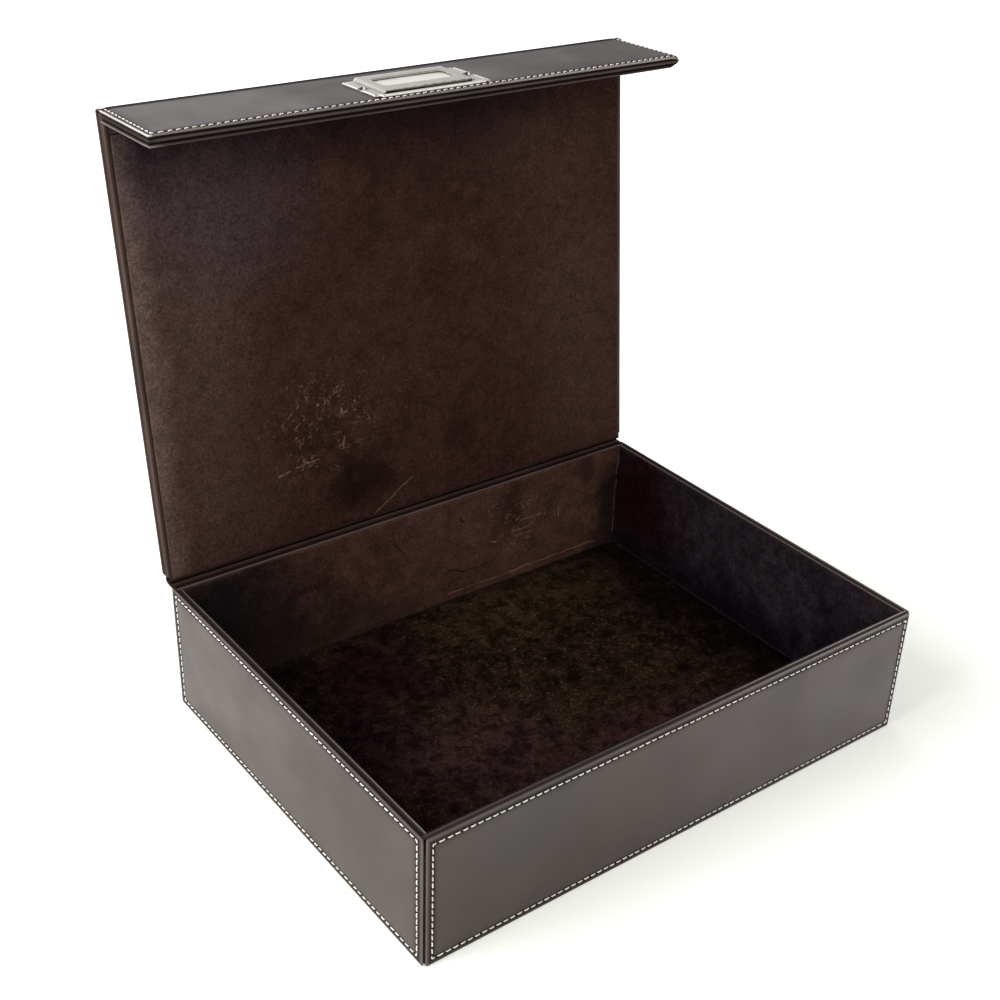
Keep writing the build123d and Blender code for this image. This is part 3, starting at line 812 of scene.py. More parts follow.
def nickel_plate(name, gloss_low, gloss_high):
    """Pressed steel with nickel plate: warm grey metal, fine brush lines, faint handling.

    Marked places, such as rounded edges, are painted near-white as highlight; the corners round the
    pins and the foot of the raised part are painted dark, mostly as shade with a little grime.
    """
    material, tree, shader, place = new_material(name)
    stretch = node(tree, "Mapping", {"Vector": place, "Scale": (0.06, 1.0, 1.0)}).outputs[0]
    lines = pattern(tree, stretch, 0.35, 3)
    metal = mixed(tree, pattern(tree, place, 12, 3), NICKEL, NICKEL_SMEARED)
    polish_and_highlight = mark(tree, "polish_and_highlight")
    bright = mixed(tree, polish_and_highlight, metal, NICKEL_RUBBED_AND_LIT)
    gloss = ranged(tree, lines, 0.0, 1.0, gloss_low, gloss_high)
    feed(tree, shader, {
        "Base Color": mixed(tree, mark(tree, "grime_and_shade"), bright, GRIME_AND_SHADE),
        "Roughness": maths(tree, "MULTIPLY_ADD", polish_and_highlight, 0.3, gloss),
        "Normal": relief(tree, lines, 0.15, 0.02),
        "Metallic": ranged(tree, polish_and_highlight, 0.0, 1.0, 1.0, 0.25),
    })
    return material


def card_stock():
    """Uncoated index card: chalky off-white with faint fibres and a little dust."""
    material, tree, shader, place = new_material("index_card_stock")
    feed(tree, shader, {
        "Base Color": mixed(tree, pattern(tree, place, 16, 2), CARD, CARD_DUST),
        "Normal": relief(tree, pattern(tree, place, 1.2, 4), 0.3, 0.03),
        "Roughness": 0.85,
    })
    return material


def fibreboard():
    """Dense brown fibreboard, cut edges bare: matt, with short matted fibres."""
    material, tree, shader, place = new_material("pressed_fibreboard")
    fibres = pattern(tree, place, 1.5, 5, Distortion=1.0)
    feed(tree, shader, {
        "Base Color": mixed(tree, fibres, FIBREBOARD, FIBREBOARD_DARK),
        "Normal": relief(tree, fibres, 0.4, 0.1),
        "Roughness": 0.9,
    })
    return material


panel_leather = leather("waxed_calf_leather", LEATHER, LEATHER_DARK, LEATHER_RUBBED_AND_LIT, 0.4, 0.75)
edge_leather = leather("pared_edge_leather", EDGE_LEATHER, EDGE_LEATHER_DARK, LEATHER_RUBBED_AND_LIT, 0.55, 0.35)
hinge_leather = leather("napped_hinge_leather", HINGE_LEATHER, HINGE_LEATHER_DARK, HINGE_LEATHER_RUBBED_AND_LIT,
                        0.8, 0.1)
# Dark veils along the top are painted shadow under the flap; the cool grey one at the upper left is painted
# sheen; the pale ones towards the left edge are painted light. The others lighten or darken the nap in
# patches.
lid_suede = suede_lining("brushed_suede_of_the_lid", *LID_SUEDE, veils=veils_at(lid_spot, (
    (-118, 208, 85, 75, 0.6, "#393136"),
    (-20, 250, 190, 40, 0.7, "#1a1519"),
    (55, 240, 120, 60, 0.75, "#1f1416"),
    (10, 195, 60, 50, 0.5, "#2b1a16"),
    (-160, 245, 40, 45, 0.7, "#1a1820"),
    (-166, 120, 22, 250, 0.6, "#6d5a54"),
    (-135, 120, 50, 100, 0.35, "#4f3f39"),
    (-130, 30, 60, 50, 0.3, "#4b3a34"),
    (-68, 62, 22, 22, 0.5, "#200f09"),
    (-36, 28, 30, 25, 0.85, "#160904"),
    (35, 42, 20, 14, 0.5, "#1d0e08"),
    (135, 30, 60, 50, 0.4, "#4a352f"),
    (130, 110, 60, 80, 0.4, "#49362f"),
    (110, 200, 70, 50, 0.35, "#43302a"),
)), strokes=veils_at(lid_spot, (
    (-62, 66, 45, 40, 0.55, PALE_STROKES),
    (-20, 75, 70, 50, 0.3, "#6a5347"),
)), scratches=scratches_at(lid_spot, (
    (-30, 3, -1, 20, 0.55, 0.4, PALE_SCRATCH),
    (-80, 47, -63, 48, 0.5, 0.55, PALE_SCRATCH),
    (-90, 44, -82, 46, 0.7, 0.4, PALE_SCRATCH),
    (-82, 76, -76, 81, 0.5, 0.4, PALE_SCRATCH),
    (-47, 51, -46, 58, 0.9, 0.3, PALE_SCRATCH),
)))
# Dark veils at both ends and along the foot of the rear lining are painted shade in its corners and along
# the floor; the two small dark ones tint the nap.
lit_rear_suede = suede_lining("lit_brushed_suede_of_the_rear_wall", *REAR_SUEDE_LIT, veils=veils_at(rear_spot, (
    (-165, 30, 100, 90, 0.97, "#0a080b"),
    (-140, 38, 75, 70, 0.75, "#121012"),
    (-95, 15, 70, 45, 0.85, "#1c1210"),
    (-40, 12, 80, 25, 0.5, "#2b1f18"),
    (165, 10, 35, 80, 0.95, "#120909"),
    (156, 34, 20, 60, 0.8, "#170d0c"),
    (68, 60, 12, 30, 0.6, "#2a1712"),
    (128, 70, 10, 20, 0.6, "#2a1712"),
), deep=60), strokes=veils_at(rear_spot, (
    (70, 45, 50, 30, 0.5, PALE_STROKES),
    (32, 20, 40, 12, 0.9, "#0f0706"),
), deep=60), scratches=scratches_at(rear_spot, (
    (20, 10.6, 80, 10.4, 0.7, 0.35, PALE_SCRATCH),
    (70, 10.8, 140, 11.0, 0.7, 0.4, PALE_SCRATCH),
    (155.6, 13, 155.9, 70, 0.6, 0.22, PALE_SCRATCH),
    (69, 40.7, 83, 40.3, 0.6, 0.38, PALE_SCRATCH),
    (71, 36.7, 86, 36.1, 0.6, 0.38, PALE_SCRATCH),
    (76, 46.6, 91, 47.2, 0.9, 0.4, PALE_SCRATCH),
    (81, 60, 86, 59.8, 0.7, 0.35, PALE_SCRATCH),
    (107, 47, 107.7, 40, 0.8, 0.38, PALE_SCRATCH),
    (52, 39, 57, 37, 0.7, 0.4, PALE_SCRATCH),
    (-20, 60, -13, 50, 0.7, 0.8, DARK_SCRATCH),
    (28, 63.5, 31, 59.7, 1.2, 0.95, DARK_SCRATCH),
    (20, 28, 31, 23, 1.2, 0.8, DARK_SCRATCH),
    (33, 24, 58, 23, 0.8, 0.6, DARK_SCRATCH),
)))
shaded_left_suede = suede_lining("shaded_suede_of_the_left_wall", *LEFT_SUEDE_SHADED, gloss=0.02)
# The veils of the walls and the floor are given in metres, in the box's frame.
# The walls' suede is a darker, cooler copy as painted shade; its veils paint more shade towards the right
# wall's rear corner, its foot and its front.
shaded_wall_suede = suede_lining("shaded_suede_of_the_walls", *WALL_SUEDE_SHADED, veils=(
    ((0.16, 0.1, 0.04), (0.06, 0.06, 0.07), 0.9, "#180506"),
    ((0.16, 0.02, 0.005), (0.06, 0.14, 0.035), 0.9, "#07040a"),
    ((0.16, -0.09, 0.02), (0.06, 0.06, 0.05), 0.8, "#0a0810"),
), mottled=0.3, gloss=0.02)
# The near-black veils along the right wall, in the left rear corner and along the left wall are painted
# shade; the paler ones in the middle and front tint the nap.
floor_suede = suede_lining("brushed_suede_of_the_floor", *FLOOR_SUEDE, veils=(
    ((0.17, 0.0, 0.0), (0.075, 0.3, 0.05), 0.97, "#070203"),
    ((-0.135, 0.105, 0.0), (0.06, 0.06, 0.05), 0.97, "#060406"),
    ((-0.06, 0.075, 0.0), (0.06, 0.06, 0.05), 0.85, "#16080a"),
    ((-0.105, 0.02, 0.0), (0.05, 0.06, 0.05), 0.7, "#150b10"),
    ((-0.05, -0.02, 0.0), (0.07, 0.06, 0.05), 0.6, "#332121"),
    ((0.04, -0.06, 0.0), (0.09, 0.045, 0.05), 0.7, "#2e1c1c"),
    ((0.06, 0.09, 0.0), (0.09, 0.04, 0.05), 0.35, "#332717"),
), mottled=0.6, flecked=0.85, gloss=0.02, lies=2)
waxed_thread = linen_thread()
nickel = nickel_plate("satin_nickel_plate", 0.16, 0.3)
bright_nickel = nickel_plate("bright_nickel_pins", 0.05, 0.12)
card = card_stock()
board = fibreboard()


# ---- Tray -----------------------------------------------------------------------------------------
def seam_marks(panel, fold=None):
    """Stitch centres and holes of the four sides; a fold crosses sides 1 and 3."""
    lengths = [length - 2 * SEAM_INSET for length in panel.lengths]
    folds = (None, fold, None, fold and lengths[3] - fold)
    return [stitch_marks(length, at) for length, at in zip(lengths, folds)]


def seam_picks(marks):
    """(side, centre, pitch) of every stitch, each corner's stitch once."""
    picks = []
    for side, (centres, holes) in enumerate(marks):
        for centre in centres[:-1]:
            picks.append((side, centre, 2 * min(abs(hole - centre) for hole in holes)))
    return picks


def wall(side):
    """One outer wall: a wrapped leather panel and its four rows of stitches."""
    face, rect = Face(SIDES[side], UP).onto(f"{side}_panel")
    rect = (rect[0], WALL_FOOT, rect[2], rect[3])
    seed = 3.0 * list(SIDES).index(side) + 1
    seam = END_WALL_SEAM if side in ("left", "right") else LONG_WALL_SEAM
    panel = Panel(rect, (PANEL_CORNER_R,) * 4, SEAM_INSET, seam)
    marks = seam_marks(panel)
    holes = [found for centres, found in marks]
    columns = [seam_columns(panel, k, holes[k]) for k in range(4)]

    def wear_and_painted_light(spots):
        """Rubbed along the top and painted paler there as highlight, more towards one end."""
        top = smooth_step((spots[:, 1] - rect[3] + 3.0) / 1.5)
        return 0.1 + (np.interp(spots[:, 0], WEAR_AND_HIGHLIGHT_ENDS, TOP_WEAR_AND_HIGHLIGHT[side]) - 0.1) * top

    slab(f"{side}_panel_cover", face.place, rect, PANEL_T, STITCHED_FIELD, panel_leather, "tray",
         (f"{side}_panel",), columns, reference=SEAM_INSET, swell=0.1,
         seed=seed, holes=holes, seam=seam, wear_and_painted_light=wear_and_painted_light)
    stitching(f"{side}_stitching", face.place, panel, seam_picks(marks), "tray", seed)


def rim_binding(side, ridge, sunk, worn_and_lit):
    """Leather folded over the board's top edge: a gutter beside the panel, then a soft ridge.

    Given are the ridge's radius, how deep the gutter is sunk, and the wear and painted highlight at both
    ends.
    The gutter and the strip's inner side are painted dark as shade.
    """
    face = Face(SIDES[side], UP)
    low, high = face.span(f"{side}_binding")
    bottom, top = low[1], high[1]
    slack = 0.04
    front = high[2] - slack
    back = low[2] + slack
    skin = 0.4
    inner_back = back + skin + 0.1
    crown = back + ridge + 0.1
    section = [(bottom, front), (top - 1.5, front), (top - sunk - 0.3, front - 0.25)]
    section += [(top - sunk - 0.1, front - 0.6), (top - sunk, (front + crown) / 2)]
    for turn in (-60, -35, -12, 12, 40, 65, 90):
        swing = math.radians(turn)
        section.append((top - ridge + ridge * math.cos(swing), crown - ridge * math.sin(swing)))
    section += [(bottom, crown - ridge), (bottom, inner_back), (top - 1.6, inner_back)]
    section += [(top - 1.6, front - skin), (bottom, front - skin)]
    # Painted shade: the gutter beside the panel and the strip's inner side are darkened.
    gutter = [0.5, 0.9, 0.7, 0.55, 0.55] if side == "left" else [0.5, 1, 1, 0.9, 0.6]
    ridge_rub_and_highlight = np.array([0] * 5 + [0.2, 0.7, 1, 1, 0.6, 0.2, 0] + [0] * 5)
    path = straight_path((low[0], 0), (high[0], 0), (0, 1))

    def rub_and_highlight(rows):
        return np.tile(ridge_rub_and_highlight, len(path)) * np.interp(rows[:, 0], WEAR_AND_HIGHLIGHT_ENDS, worn_and_lit)

    sweep(f"{side}_rim_binding", face.place, path, section, edge_leather, "tray",
          (f"{side}_binding",), ripple=0.07, seed=len(side),
          marks={"shade": gutter + [0] * 7 + [0.8] * 5}, wear_and_painted_light={"rub_and_highlight": rub_and_highlight})


def wall_lining(side):
    """Suede on card inside one wall, its edges softly rounded, lifting a little here and there."""
    inward = Vector(SIDES[side]) * -1
    face, rect = Face(inward, UP).onto(f"{side}_lining")
    low, high = face.span(f"{side}_lining")
    # The rear lining takes a lit copy of the suede, the left and other walls shaded copies.
    nap = {"rear": lit_rear_suede, "left": shaded_left_suede}.get(side, shaded_wall_suede)
    slab(f"{side}_suede", face.place, rect, high[2] - low[2], PLAIN_FIELD, nap, "tray",
         (f"{side}_lining",), radii=(0.6,) * 4, bead=0.45, spacing=8.0, swell=0.3, swell_size=35.0,
         seed=5.0 + len(side))


def floor_lining():
    """The floor's suede stops just short of the wall linings, so that its edge shows as a line."""
    face, rect = Face(UP, (0, 1, 0)).onto("floor_lining")
    gap = 0.25
    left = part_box("left_lining")[1].x / MM
    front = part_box("front_lining")[1].y / MM
    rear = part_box("rear_lining")[0].y / MM
    rect = (left + gap, front + gap, -left - gap, rear - gap)
    low, high = face.span("floor_lining")
    slab("floor_suede", face.place, rect, high[2] - low[2], PLAIN_FIELD, floor_suede, "tray",
         ("floor_lining",), radii=(0.8,) * 4, bead=0.5, spacing=8.0, swell=0.35, swell_size=30.0,
         seed=9.0)


def base_cover():
    """Leather sheet under the box, its edges pared thin."""
    face, rect = Face((0, 0, -1), (0, 1, 0)).onto("base_cover")
    slab("base_leather", face.place, rect, 1.0, PLAIN_FIELD, edge_leather, "tray",
         ("base_cover",), radii=(3.0,) * 4, bead=0.3, spacing=12.0)


# ---- Hinge ----------------------------------------------------------------------------------------
HINGE_FACE = Face((0, -1, 0), UP, HINGE)


def on_lid(up, back):
    """(height, forward) about the hinge line, from a place up the lid and back from its lining."""
    spot = LID_UP * up + LID_BACK * back
    return spot.z, -spot.y


def from_world(y, z):
    """(height, forward) about the hinge line, from millimetres in the box's frame."""
    return z - HINGE.z / MM, HINGE.y / MM - y


def thick_line(outer, thickness):
    """A closed section round a leather strip, from the line of its outer face."""
    line = np.array(outer, float)
    run = np.gradient(line, axis=0)
    run /= np.linalg.norm(run, axis=1)[:, None]
    inner = line + np.stack([-run[:, 1], run[:, 0]], 1) * thickness
    return [tuple(p) for p in line] + [tuple(p) for p in inner[::-1]]


# Outer line of the hinge strip: (up, back) on the lid, then (y, lift) over the rear board's rim
LID_CREASE = (
    (HINGE_FLANGE, EDGING_SUNK), (12, EDGING_SUNK), (6, EDGING_SUNK), (4.5, EDGING_SUNK),
    (3.4, EDGING_SUNK), (2.7, EDGING_SUNK), (2.0, 0.34), (1.4, 0.42), (0.95, 0.75), (0.75, 1.3),
    (0.68, 1.9), (0.3, 2.3),
)
RIM_WRINKLES = (
    (126.7, 0.1), (126.0, 0.25), (125.2, 0.4), (124.4, 0.35), (123.4, 0.05), (122.5, -0.3),
    (121.5, -0.3), (120.6, 0.05), (119.9, -0.3),
)
# Belly of the spine: (in from its farthest back, height in the box's frame)
SPINE_BELLY = ((0.75, 81.4), (0.2, 80.0), (0.35, 78.6), (1.2, 77.5), (2.8, 76.85), (4.6, 76.75))


def hinge_strip():
    """Inner strip: down the lid, into a tight crease, over the rear board and down behind the suede."""
    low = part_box("hinge_leather")[0]
    rear_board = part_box("rear_board")
    top = rear_board[1].z / MM + HINGE_T
    inside = rear_board[0].y / MM - HINGE_T
    line = [on_lid(up, back) for up, back in LID_CREASE]
    line += [from_world(y, top + lift) for y, lift in RIM_WRINKLES]
    line += [from_world(inside, z) for z in (top - 0.9, top - 2, top - 6, low.z / MM)]
    half = -low.x / MM
    spots = range(len(line))
    # Painted shade blackens the crease and its gutters; painted highlight gives the pale line along the
    # rim.
    dark_at = (4, 8, 11, 12.5, 13, 15, 16, 17, 19, 20, 21, 22)
    shade = np.interp(spots, dark_at, (0.1, 0.9, 1, 1, 0.5, 0.35, 0.6, 0.95, 0.7, 0.1, 0.2, 0.9))
    rub_and_highlight = np.interp(spots, (12, 14, 16, 18, 19, 20, 21), (0, 0.1, 0, 0, 0.03, 0.2, 0.06))

    def crumple(rows):
        """Wider on the lid than over the rim, wrinkled near its ends, behind the suede narrower."""
        lid_part = smooth_step((rows[:, 1] - 0.4) / 1.2)
        down = smooth_step((-rows[:, 1] - 1.2) / 0.8)
        rows[:, 0] *= 1 + lid_part * HINGE_WIDER / half - down * HINGE_NARROWER / half
        ends = smooth_step((np.abs(rows[:, 0]) - half + HINGE_WRINKLED) / HINGE_WRINKLED)
        folds = soft_noise(np.stack([rows[:, 0] * 0.6, rows[:, 1] * 2.2 + rows[:, 2]], 1), 2.6, 4.0)
        slack = soft_noise(rows, 22.0, 8.0)
        rows[:, 2] += (0.7 * ends + 0.16) * folds + 0.2 * slack
        rows[:, 1] += 0.25 * ends * folds
        return rows

    path = straight_path((-half, 0), (half, 0), (0, 1), 1.6)
    piece = sweep("hinge_strip", HINGE_FACE.place, path, thick_line(line, HINGE_T), hinge_leather, None,
                  ("hinge_leather",), reshape=crumple, smooth_under=70,
                  marks={"shade": [*shade, *shade[::-1]], "rub_and_highlight": [*rub_and_highlight, *rub_and_highlight[::-1]]})
    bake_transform(piece)


def spine_strip():
    """Outer strip: from under the lid's cover, round a soft belly, to behind the rear panel."""
    low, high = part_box("spine_leather")
    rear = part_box("rear_panel")[1]
    panel_y, panel_top = rear.y / MM, rear.z / MM
    board_back = panel_y - PANEL_T
    cover_back = 4.5       # glued on the lid board, under its cover
    lid_start = LID_OUTSIDE.span("lid_panel")[0][1]
    line = [on_lid(lid_start + 16, cover_back), on_lid(lid_start + 6, cover_back)]
    line += [on_lid(lid_start + 0.5, cover_back + 0.05), on_lid(lid_start - 1.2, cover_back + 0.5)]
    line += [from_world(high.y / MM - inside, z) for inside, z in SPINE_BELLY]
    line += [from_world(panel_y - 0.2, panel_top + 0.42), from_world(board_back + 0.5, panel_top + 0.1)]
    line += [from_world(board_back, z) for z in (panel_top - 1, panel_top - 7, low.z / MM)]
    half = -low.x / MM

    def slacken(rows):
        """Creased at the hinge, and as wide as the box above the rear wall."""
        above = smooth_step((rows[:, 1] + 3.2) / 0.8)
        rows[:, 0] *= 1 + above * (SPINE_REACH / half - 1)
        middle = smooth_step((rows[:, 1] + 3) / 2) * (1 - smooth_step((rows[:, 1] - 4) / 2))
        folds = soft_noise(rows[:, :2] * (0.25, 1.5), 3.0, 2.0)
        rows[:, 2] += 0.25 * middle * folds
        return rows

    path = straight_path((-half, 0), (half, 0), (0, 1), 2.5)
    piece = sweep("spine_strip", HINGE_FACE.place, path, thick_line(line, -SPINE_T), panel_leather, None,
                  ("spine_leather",), reshape=slacken, smooth_under=70)
    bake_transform(piece)


# ---- Lid and flap -----------------------------------------------------------------------------------
END_PRESSED = 0.75         # share of a full half round at the flap's right end
CORNER_PRESSED = 0.6       # more at its free corner
FOLD_SPARED = (2, 8)       # near the fold: where the rounding starts, and over how long it grows


def pressed_round(points):
    """Rounds off the flap's right end: both faces curve in to meet, most of all at its free corner."""
    rows = np.asarray(points)
    half = cad_box[1][0] / MM
    depth = FLAP_OUTSIDE.span("flap_panel")[1][1]
    from_fold = rows - np.array(FOLD)
    down = from_fold @ np.array(FLAP_DOWN) / MM
    out = from_fold @ np.array(FLAP_OUT) / MM
    to_end = (rows[:, 0] / MM - half) / ROUND_END + 1
    to_front = np.clip((down - depth) / ROUND_END + 1, 0, 1)
    near = np.clip(END_PRESSED * to_end + CORNER_PRESSED * to_front * (to_end > -0.9), 0, 0.99)
    squeeze = (1 - np.sqrt(1 - near ** 2)) * smooth_step((down - FOLD_SPARED[0]) / FOLD_SPARED[1])
    lift = (-FLAP_T / 2 - out) * squeeze
    return rows + np.outer(lift * MM, FLAP_OUT)


class FoldedCover:
    """Coordinates of the cover over lid and flap: v runs up the lid, over the fold, down the flap."""

    def __init__(self):
        self.lid = Face(LID_BACK, LID_UP, HINGE + LID_BACK * (FOLD - HINGE).dot(LID_BACK))
        self.flap = FLAP_OUTSIDE
        self.fold = (FOLD - HINGE).dot(LID_UP) / MM
        self.turn = LID_BACK.angle(FLAP_OUT)
        self.tangent = FOLD_R * math.tan(self.turn / 2)

    def place(self, points):
        rows = np.asarray(points, float)
        on_lid_face = self.lid.place(rows)
        flap_rows = rows - np.array([0, self.fold, 0])
        on_flap_face = self.flap.place(flap_rows)
        start = self.fold - self.tangent
        angle = np.clip((rows[:, 1] - start) / (2 * self.tangent), 0, 1) * self.turn
        out = np.outer(np.cos(angle), LID_BACK) + np.outer(np.sin(angle), LID_UP)
        centre = self.lid.place([(0, start, -FOLD_R)])
        across = np.outer(rows[:, 0] * MM, self.lid.right)
        on_bend = centre + across + out * ((FOLD_R + rows[:, 2]) * MM)[:, None]
        bend = (rows[:, 1] > start) & (rows[:, 1] < start + 2 * self.tangent)
        made = np.where((rows[:, 1] >= self.fold)[:, None], on_flap_face, on_lid_face)
        made = np.where(bend[:, None], on_bend, made)
        return np.where((rows[:, 1] > start)[:, None], pressed_round(made), made)


def cover_wear_and_highlight(spots, rect, fold):
    """The flap is painted paler, partly as wear where a hand takes hold of it and partly as painted
    highlight on its edges: most at its left end, then in front and at its right end.
    """
    along, up = spots[:, 0], spots[:, 1]
    left_end = smooth_step((along - rect[2] + 3.0) / 1.5)
    front = smooth_step((up - rect[3] + 3.0) / 1.5) * (0.15 + 0.3 * smooth_step((60 - along) / 150))
    right_end = 0.35 * smooth_step((rect[0] + 6.0 - along) / 5)
    return 0.1 + np.maximum(np.maximum(0.9 * left_end, front), right_end) * (up > fold)


# Rows of the mesh about the fold, in bend halves past it: the bend itself goes from -1 to 1.
FOLD_ROWS = (-1, -0.75, -0.5, -0.25, 0, 0.25, 0.5, 0.75, 1, 1.6, 2.2, 2.9, 3.6)
CREASE_END = 3.4           # in bend halves, how far the painted dark crease goes past the fold


def fold_crease(spots, cover):
    """Painted shade darkens the bend between lid and flap, and a little of the flap."""
    past = (spots[:, 1] - cover.fold) / cover.tangent
    return 0.9 * smooth_step((CREASE_END - past) / 1.2) * smooth_step((past + 1.0) / 0.4)


def lid_cover():
    """One leather cover over the lid's back, the fold and the flap, with its stitches."""
    cover = FoldedCover()
    low, high = LID_OUTSIDE.span("lid_panel")
    depth = FLAP_OUTSIDE.span("flap_panel")[1][1]
    rect = (low[0], low[1], high[0], cover.fold + depth)
    radii = (PANEL_CORNER_R, PANEL_CORNER_R, FLAP_FOLD_R, FLAP_CORNER_R)
    panel = Panel(rect, radii, SEAM_INSET, COVER_SEAM)
    fold_at = cover.fold - rect[1] - SEAM_INSET
    marks = seam_marks(panel, fold_at)
    holes = [found for centres, found in marks]
    rows = cover.fold + cover.tangent * np.array(FOLD_ROWS)
    bends = rows - rect[1] - SEAM_INSET
    length = panel.lengths[1] - 2 * SEAM_INSET
    extra = [(), bends, (), length - bends]
    columns = [seam_columns(panel, k, holes[k], extra[k]) for k in range(4)]
    piece = slab("lid_and_flap_cover", cover.place, rect, PANEL_T, STITCHED_FIELD, panel_leather, None,
                 ("lid_panel", "flap_panel"), columns, radii, SEAM_INSET,
                 rows=rows, swell=0.1, seed=21.0, holes=holes, seam=COVER_SEAM,
                 wear_and_painted_light=lambda spots: cover_wear_and_highlight(spots, rect, cover.fold), groove=0.5,
                 crease=lambda spots: fold_crease(spots, cover))
    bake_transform(piece)
    on_flap = []
    on_lid_part = []
    for side, centre, pitch in seam_picks(marks):
        height = seam_point(panel, side, centre)[1]
        (on_flap if height > cover.fold else on_lid_part).append((side, centre, pitch))
    stitching("flap_stitching", cover.place, panel, on_flap, "flap", 31, (0.6, 0.5))
    stitching("lid_stitching", cover.place, panel, on_lid_part, "lid", 32)


def lid_lining():
    face, rect = LID_INSIDE.onto("lid_lining")
    slab("lid_suede", face.place, rect, LINING_T, PLAIN_FIELD, lid_suede, "lid", ("lid_lining",),
         radii=(0.8,) * 4, bead=0.45, spacing=8.0, swell=0.3, swell_size=38.0, seed=41.0)


EDGING_TURN = 1.35         # depth below the lining's face at which the edging starts to turn over


def lid_edging():
    """Leather over the lid board's edges: a strip up each side and one below the fold."""
    low, high = LID_INSIDE.span("lid_edging")
    lining_top = LID_INSIDE.span("lid_lining")[1][1]
    back = low[2]
    section = [(0, back), (0, back + 0.7), (0, -EDGING_TURN)]
    for k in range(1, 5):
        turn = math.radians(22.5 * k)
        rise = (EDGING_TURN - EDGING_SUNK) * math.sin(turn)
        section.append((EDGING_T * (1 - math.cos(turn)), rise - EDGING_TURN))
    section += [(1.7, -0.36), (2.4, -0.42), (EDGING_BORDER - 0.3, -0.5), (EDGING_BORDER - 0.04, -0.75)]
    section += [(EDGING_BORDER - 0.04, -LINING_T), (EDGING_T, -LINING_T), (EDGING_T, back)]
    # Painted shade darkens the outer line and the step down to the lining; painted highlight lightens the
    # rounding, most on the left.
    shade = [1, 0.4, 0, 0, 0, 0, 0, 0.3, 0.5, 0.1, 0.1, 0.8, 1, 1]
    rub_and_highlight = np.array([0, 0.3, 0.3, 0.4, 1, 0.8, 0.4, 0.3, 0.28, 0.25, 0.1, 0, 0, 0])
    for name, edge, inward, worn_and_lit in (("right", low[0], 1, 0.15), ("left", high[0], -1, 0.65)):
        ends = [(edge, low[1]), (edge, high[1] - 0.5)][::inward]
        path = straight_path(*ends, (inward, 0))
        sweep(f"lid_edging_{name}", LID_INSIDE.place, path, section, hinge_leather, "lid",
                            (), ripple=0.06, seed=edge,
                            marks={"rub_and_highlight": worn_and_lit * rub_and_highlight, "shade": shade})
    depth = high[1] - lining_top
    top = [(0.0, -LINING_T), (0.05, -0.8), (0.35, -0.55), (1.0, -0.45), (depth * 0.6, -0.42)]
    top += [(depth - 0.3, -0.5), (depth - 0.05, -LINING_T)]
    ends = [(high[0] - EDGING_BORDER, lining_top), (low[0] + EDGING_BORDER, lining_top)]
    sweep("lid_edging_top", LID_INSIDE.place, straight_path(*ends, (0, 1)), top, edge_leather, "lid",
          (), ripple=0.05, seed=6.0)
    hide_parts("lid_edging")


def rounded_end_path(half, start, end, radii):
    """Path round the flap's right end, free edge and left end, with inward directions."""
    right, left = radii
    turns = [math.radians(15 * k) for k in range(7)]
    shares = [(math.cos(turn), math.sin(turn)) for turn in turns]
    path = straight_path((-half, start), (-half, end - right), (1, 0), 4.0)[:-1]
    path += [(-half + right * (1 - c), end - right * (1 - s), c, -s) for c, s in shares]
    path += straight_path((-half + right, end), (half - left, end), (0, -1), 4.0)[1:-1]
    path += [(half - left * (1 - s), end - left * (1 - c), -s, -c) for c, s in shares]
    path += straight_path((half, end - left), (half, start), (-1, 0), 4.0)[1:]
    return path


def flap_edging():
    """Leather band between the flap's cover and its lining: rounded, with a gutter each side painted dark
    as shade.
    """
    low, high = FLAP_OUTSIDE.span("flap_edging")
    slack = 0.03
    top = high[2] - slack
    bottom = low[2] + slack
    gutter = 0.55
    section = [(EDGING_T, top), (gutter, top)]
    for k in range(7):
        turn = math.radians(30 * k)
        height = top - 0.2 - (top - bottom - 0.4) * k / 6
        section.append((0.45 - 0.4 * math.sin(turn), height))
    section += [(gutter, bottom), (EDGING_T, bottom)]
    radii = (FLAP_CORNER_R - EDGING_RECESS, FLAP_FOLD_R - EDGING_RECESS)
    path = rounded_end_path(high[0], low[1] + 1.2, high[1], radii)
    # Painted highlight on the rounded band; painted shade in the gutters each side.
    rub_and_highlight = [0, 0, 0, 0, 0.03, 0.06, 0.03, 0, 0, 0, 0]
    shade = [1, 1, 1, 0.6, 0.1, 0, 0.1, 0.6, 1, 1, 1]

    def bulge(rows):
        """Lets the band stand out between the covers at the flap's pressed end."""
        rows[:, 0] -= 0.55 * smooth_step((3.5 - high[0] - rows[:, 0]) / 3.5)
        return rows

    # At its right end the band is painted paler as highlight, at its left end darker as shade.
    sweep("flap_edging_band", lambda rows: pressed_round(FLAP_OUTSIDE.place(rows)), path, section,
          edge_leather, "flap", ("flap_edging",), ripple=0.04, seed=12.0, reshape=bulge,
          marks={"rub_and_highlight": rub_and_highlight, "shade": shade}, wear_and_painted_light={
              "rub_and_highlight": lambda rows: 0.3 * smooth_step((3 - high[0] - rows[:, 0]) / 2),
              "shade": lambda rows: 0.6 * smooth_step(rows[:, 0] - high[0] + 2),
          })


def flap_lining():
    face, rect = FLAP_INSIDE.onto("flap_lining")
    low, high = FLAP_OUTSIDE.span("flap_lining")
    inside_u = (-high[0], rect[1], -low[0], rect[3])
    # Its bead at one end is painted paler, partly wear and partly painted highlight.
    slab("flap_lining_leather", lambda rows: pressed_round(face.place(rows)), inside_u, 1.45,
         PLAIN_FIELD, edge_leather, "flap", ("flap_lining",),
         radii=(0.8, 0.8, FLAP_CORNER_R, FLAP_FOLD_R), bead=0.5, spacing=8.0, swell=0.08, seed=51.0,
         wear_and_painted_light=lambda spots: 0.08 + 0.5 * smooth_step((inside_u[0] + 3.0 - spots[:, 0]) / 1.5))


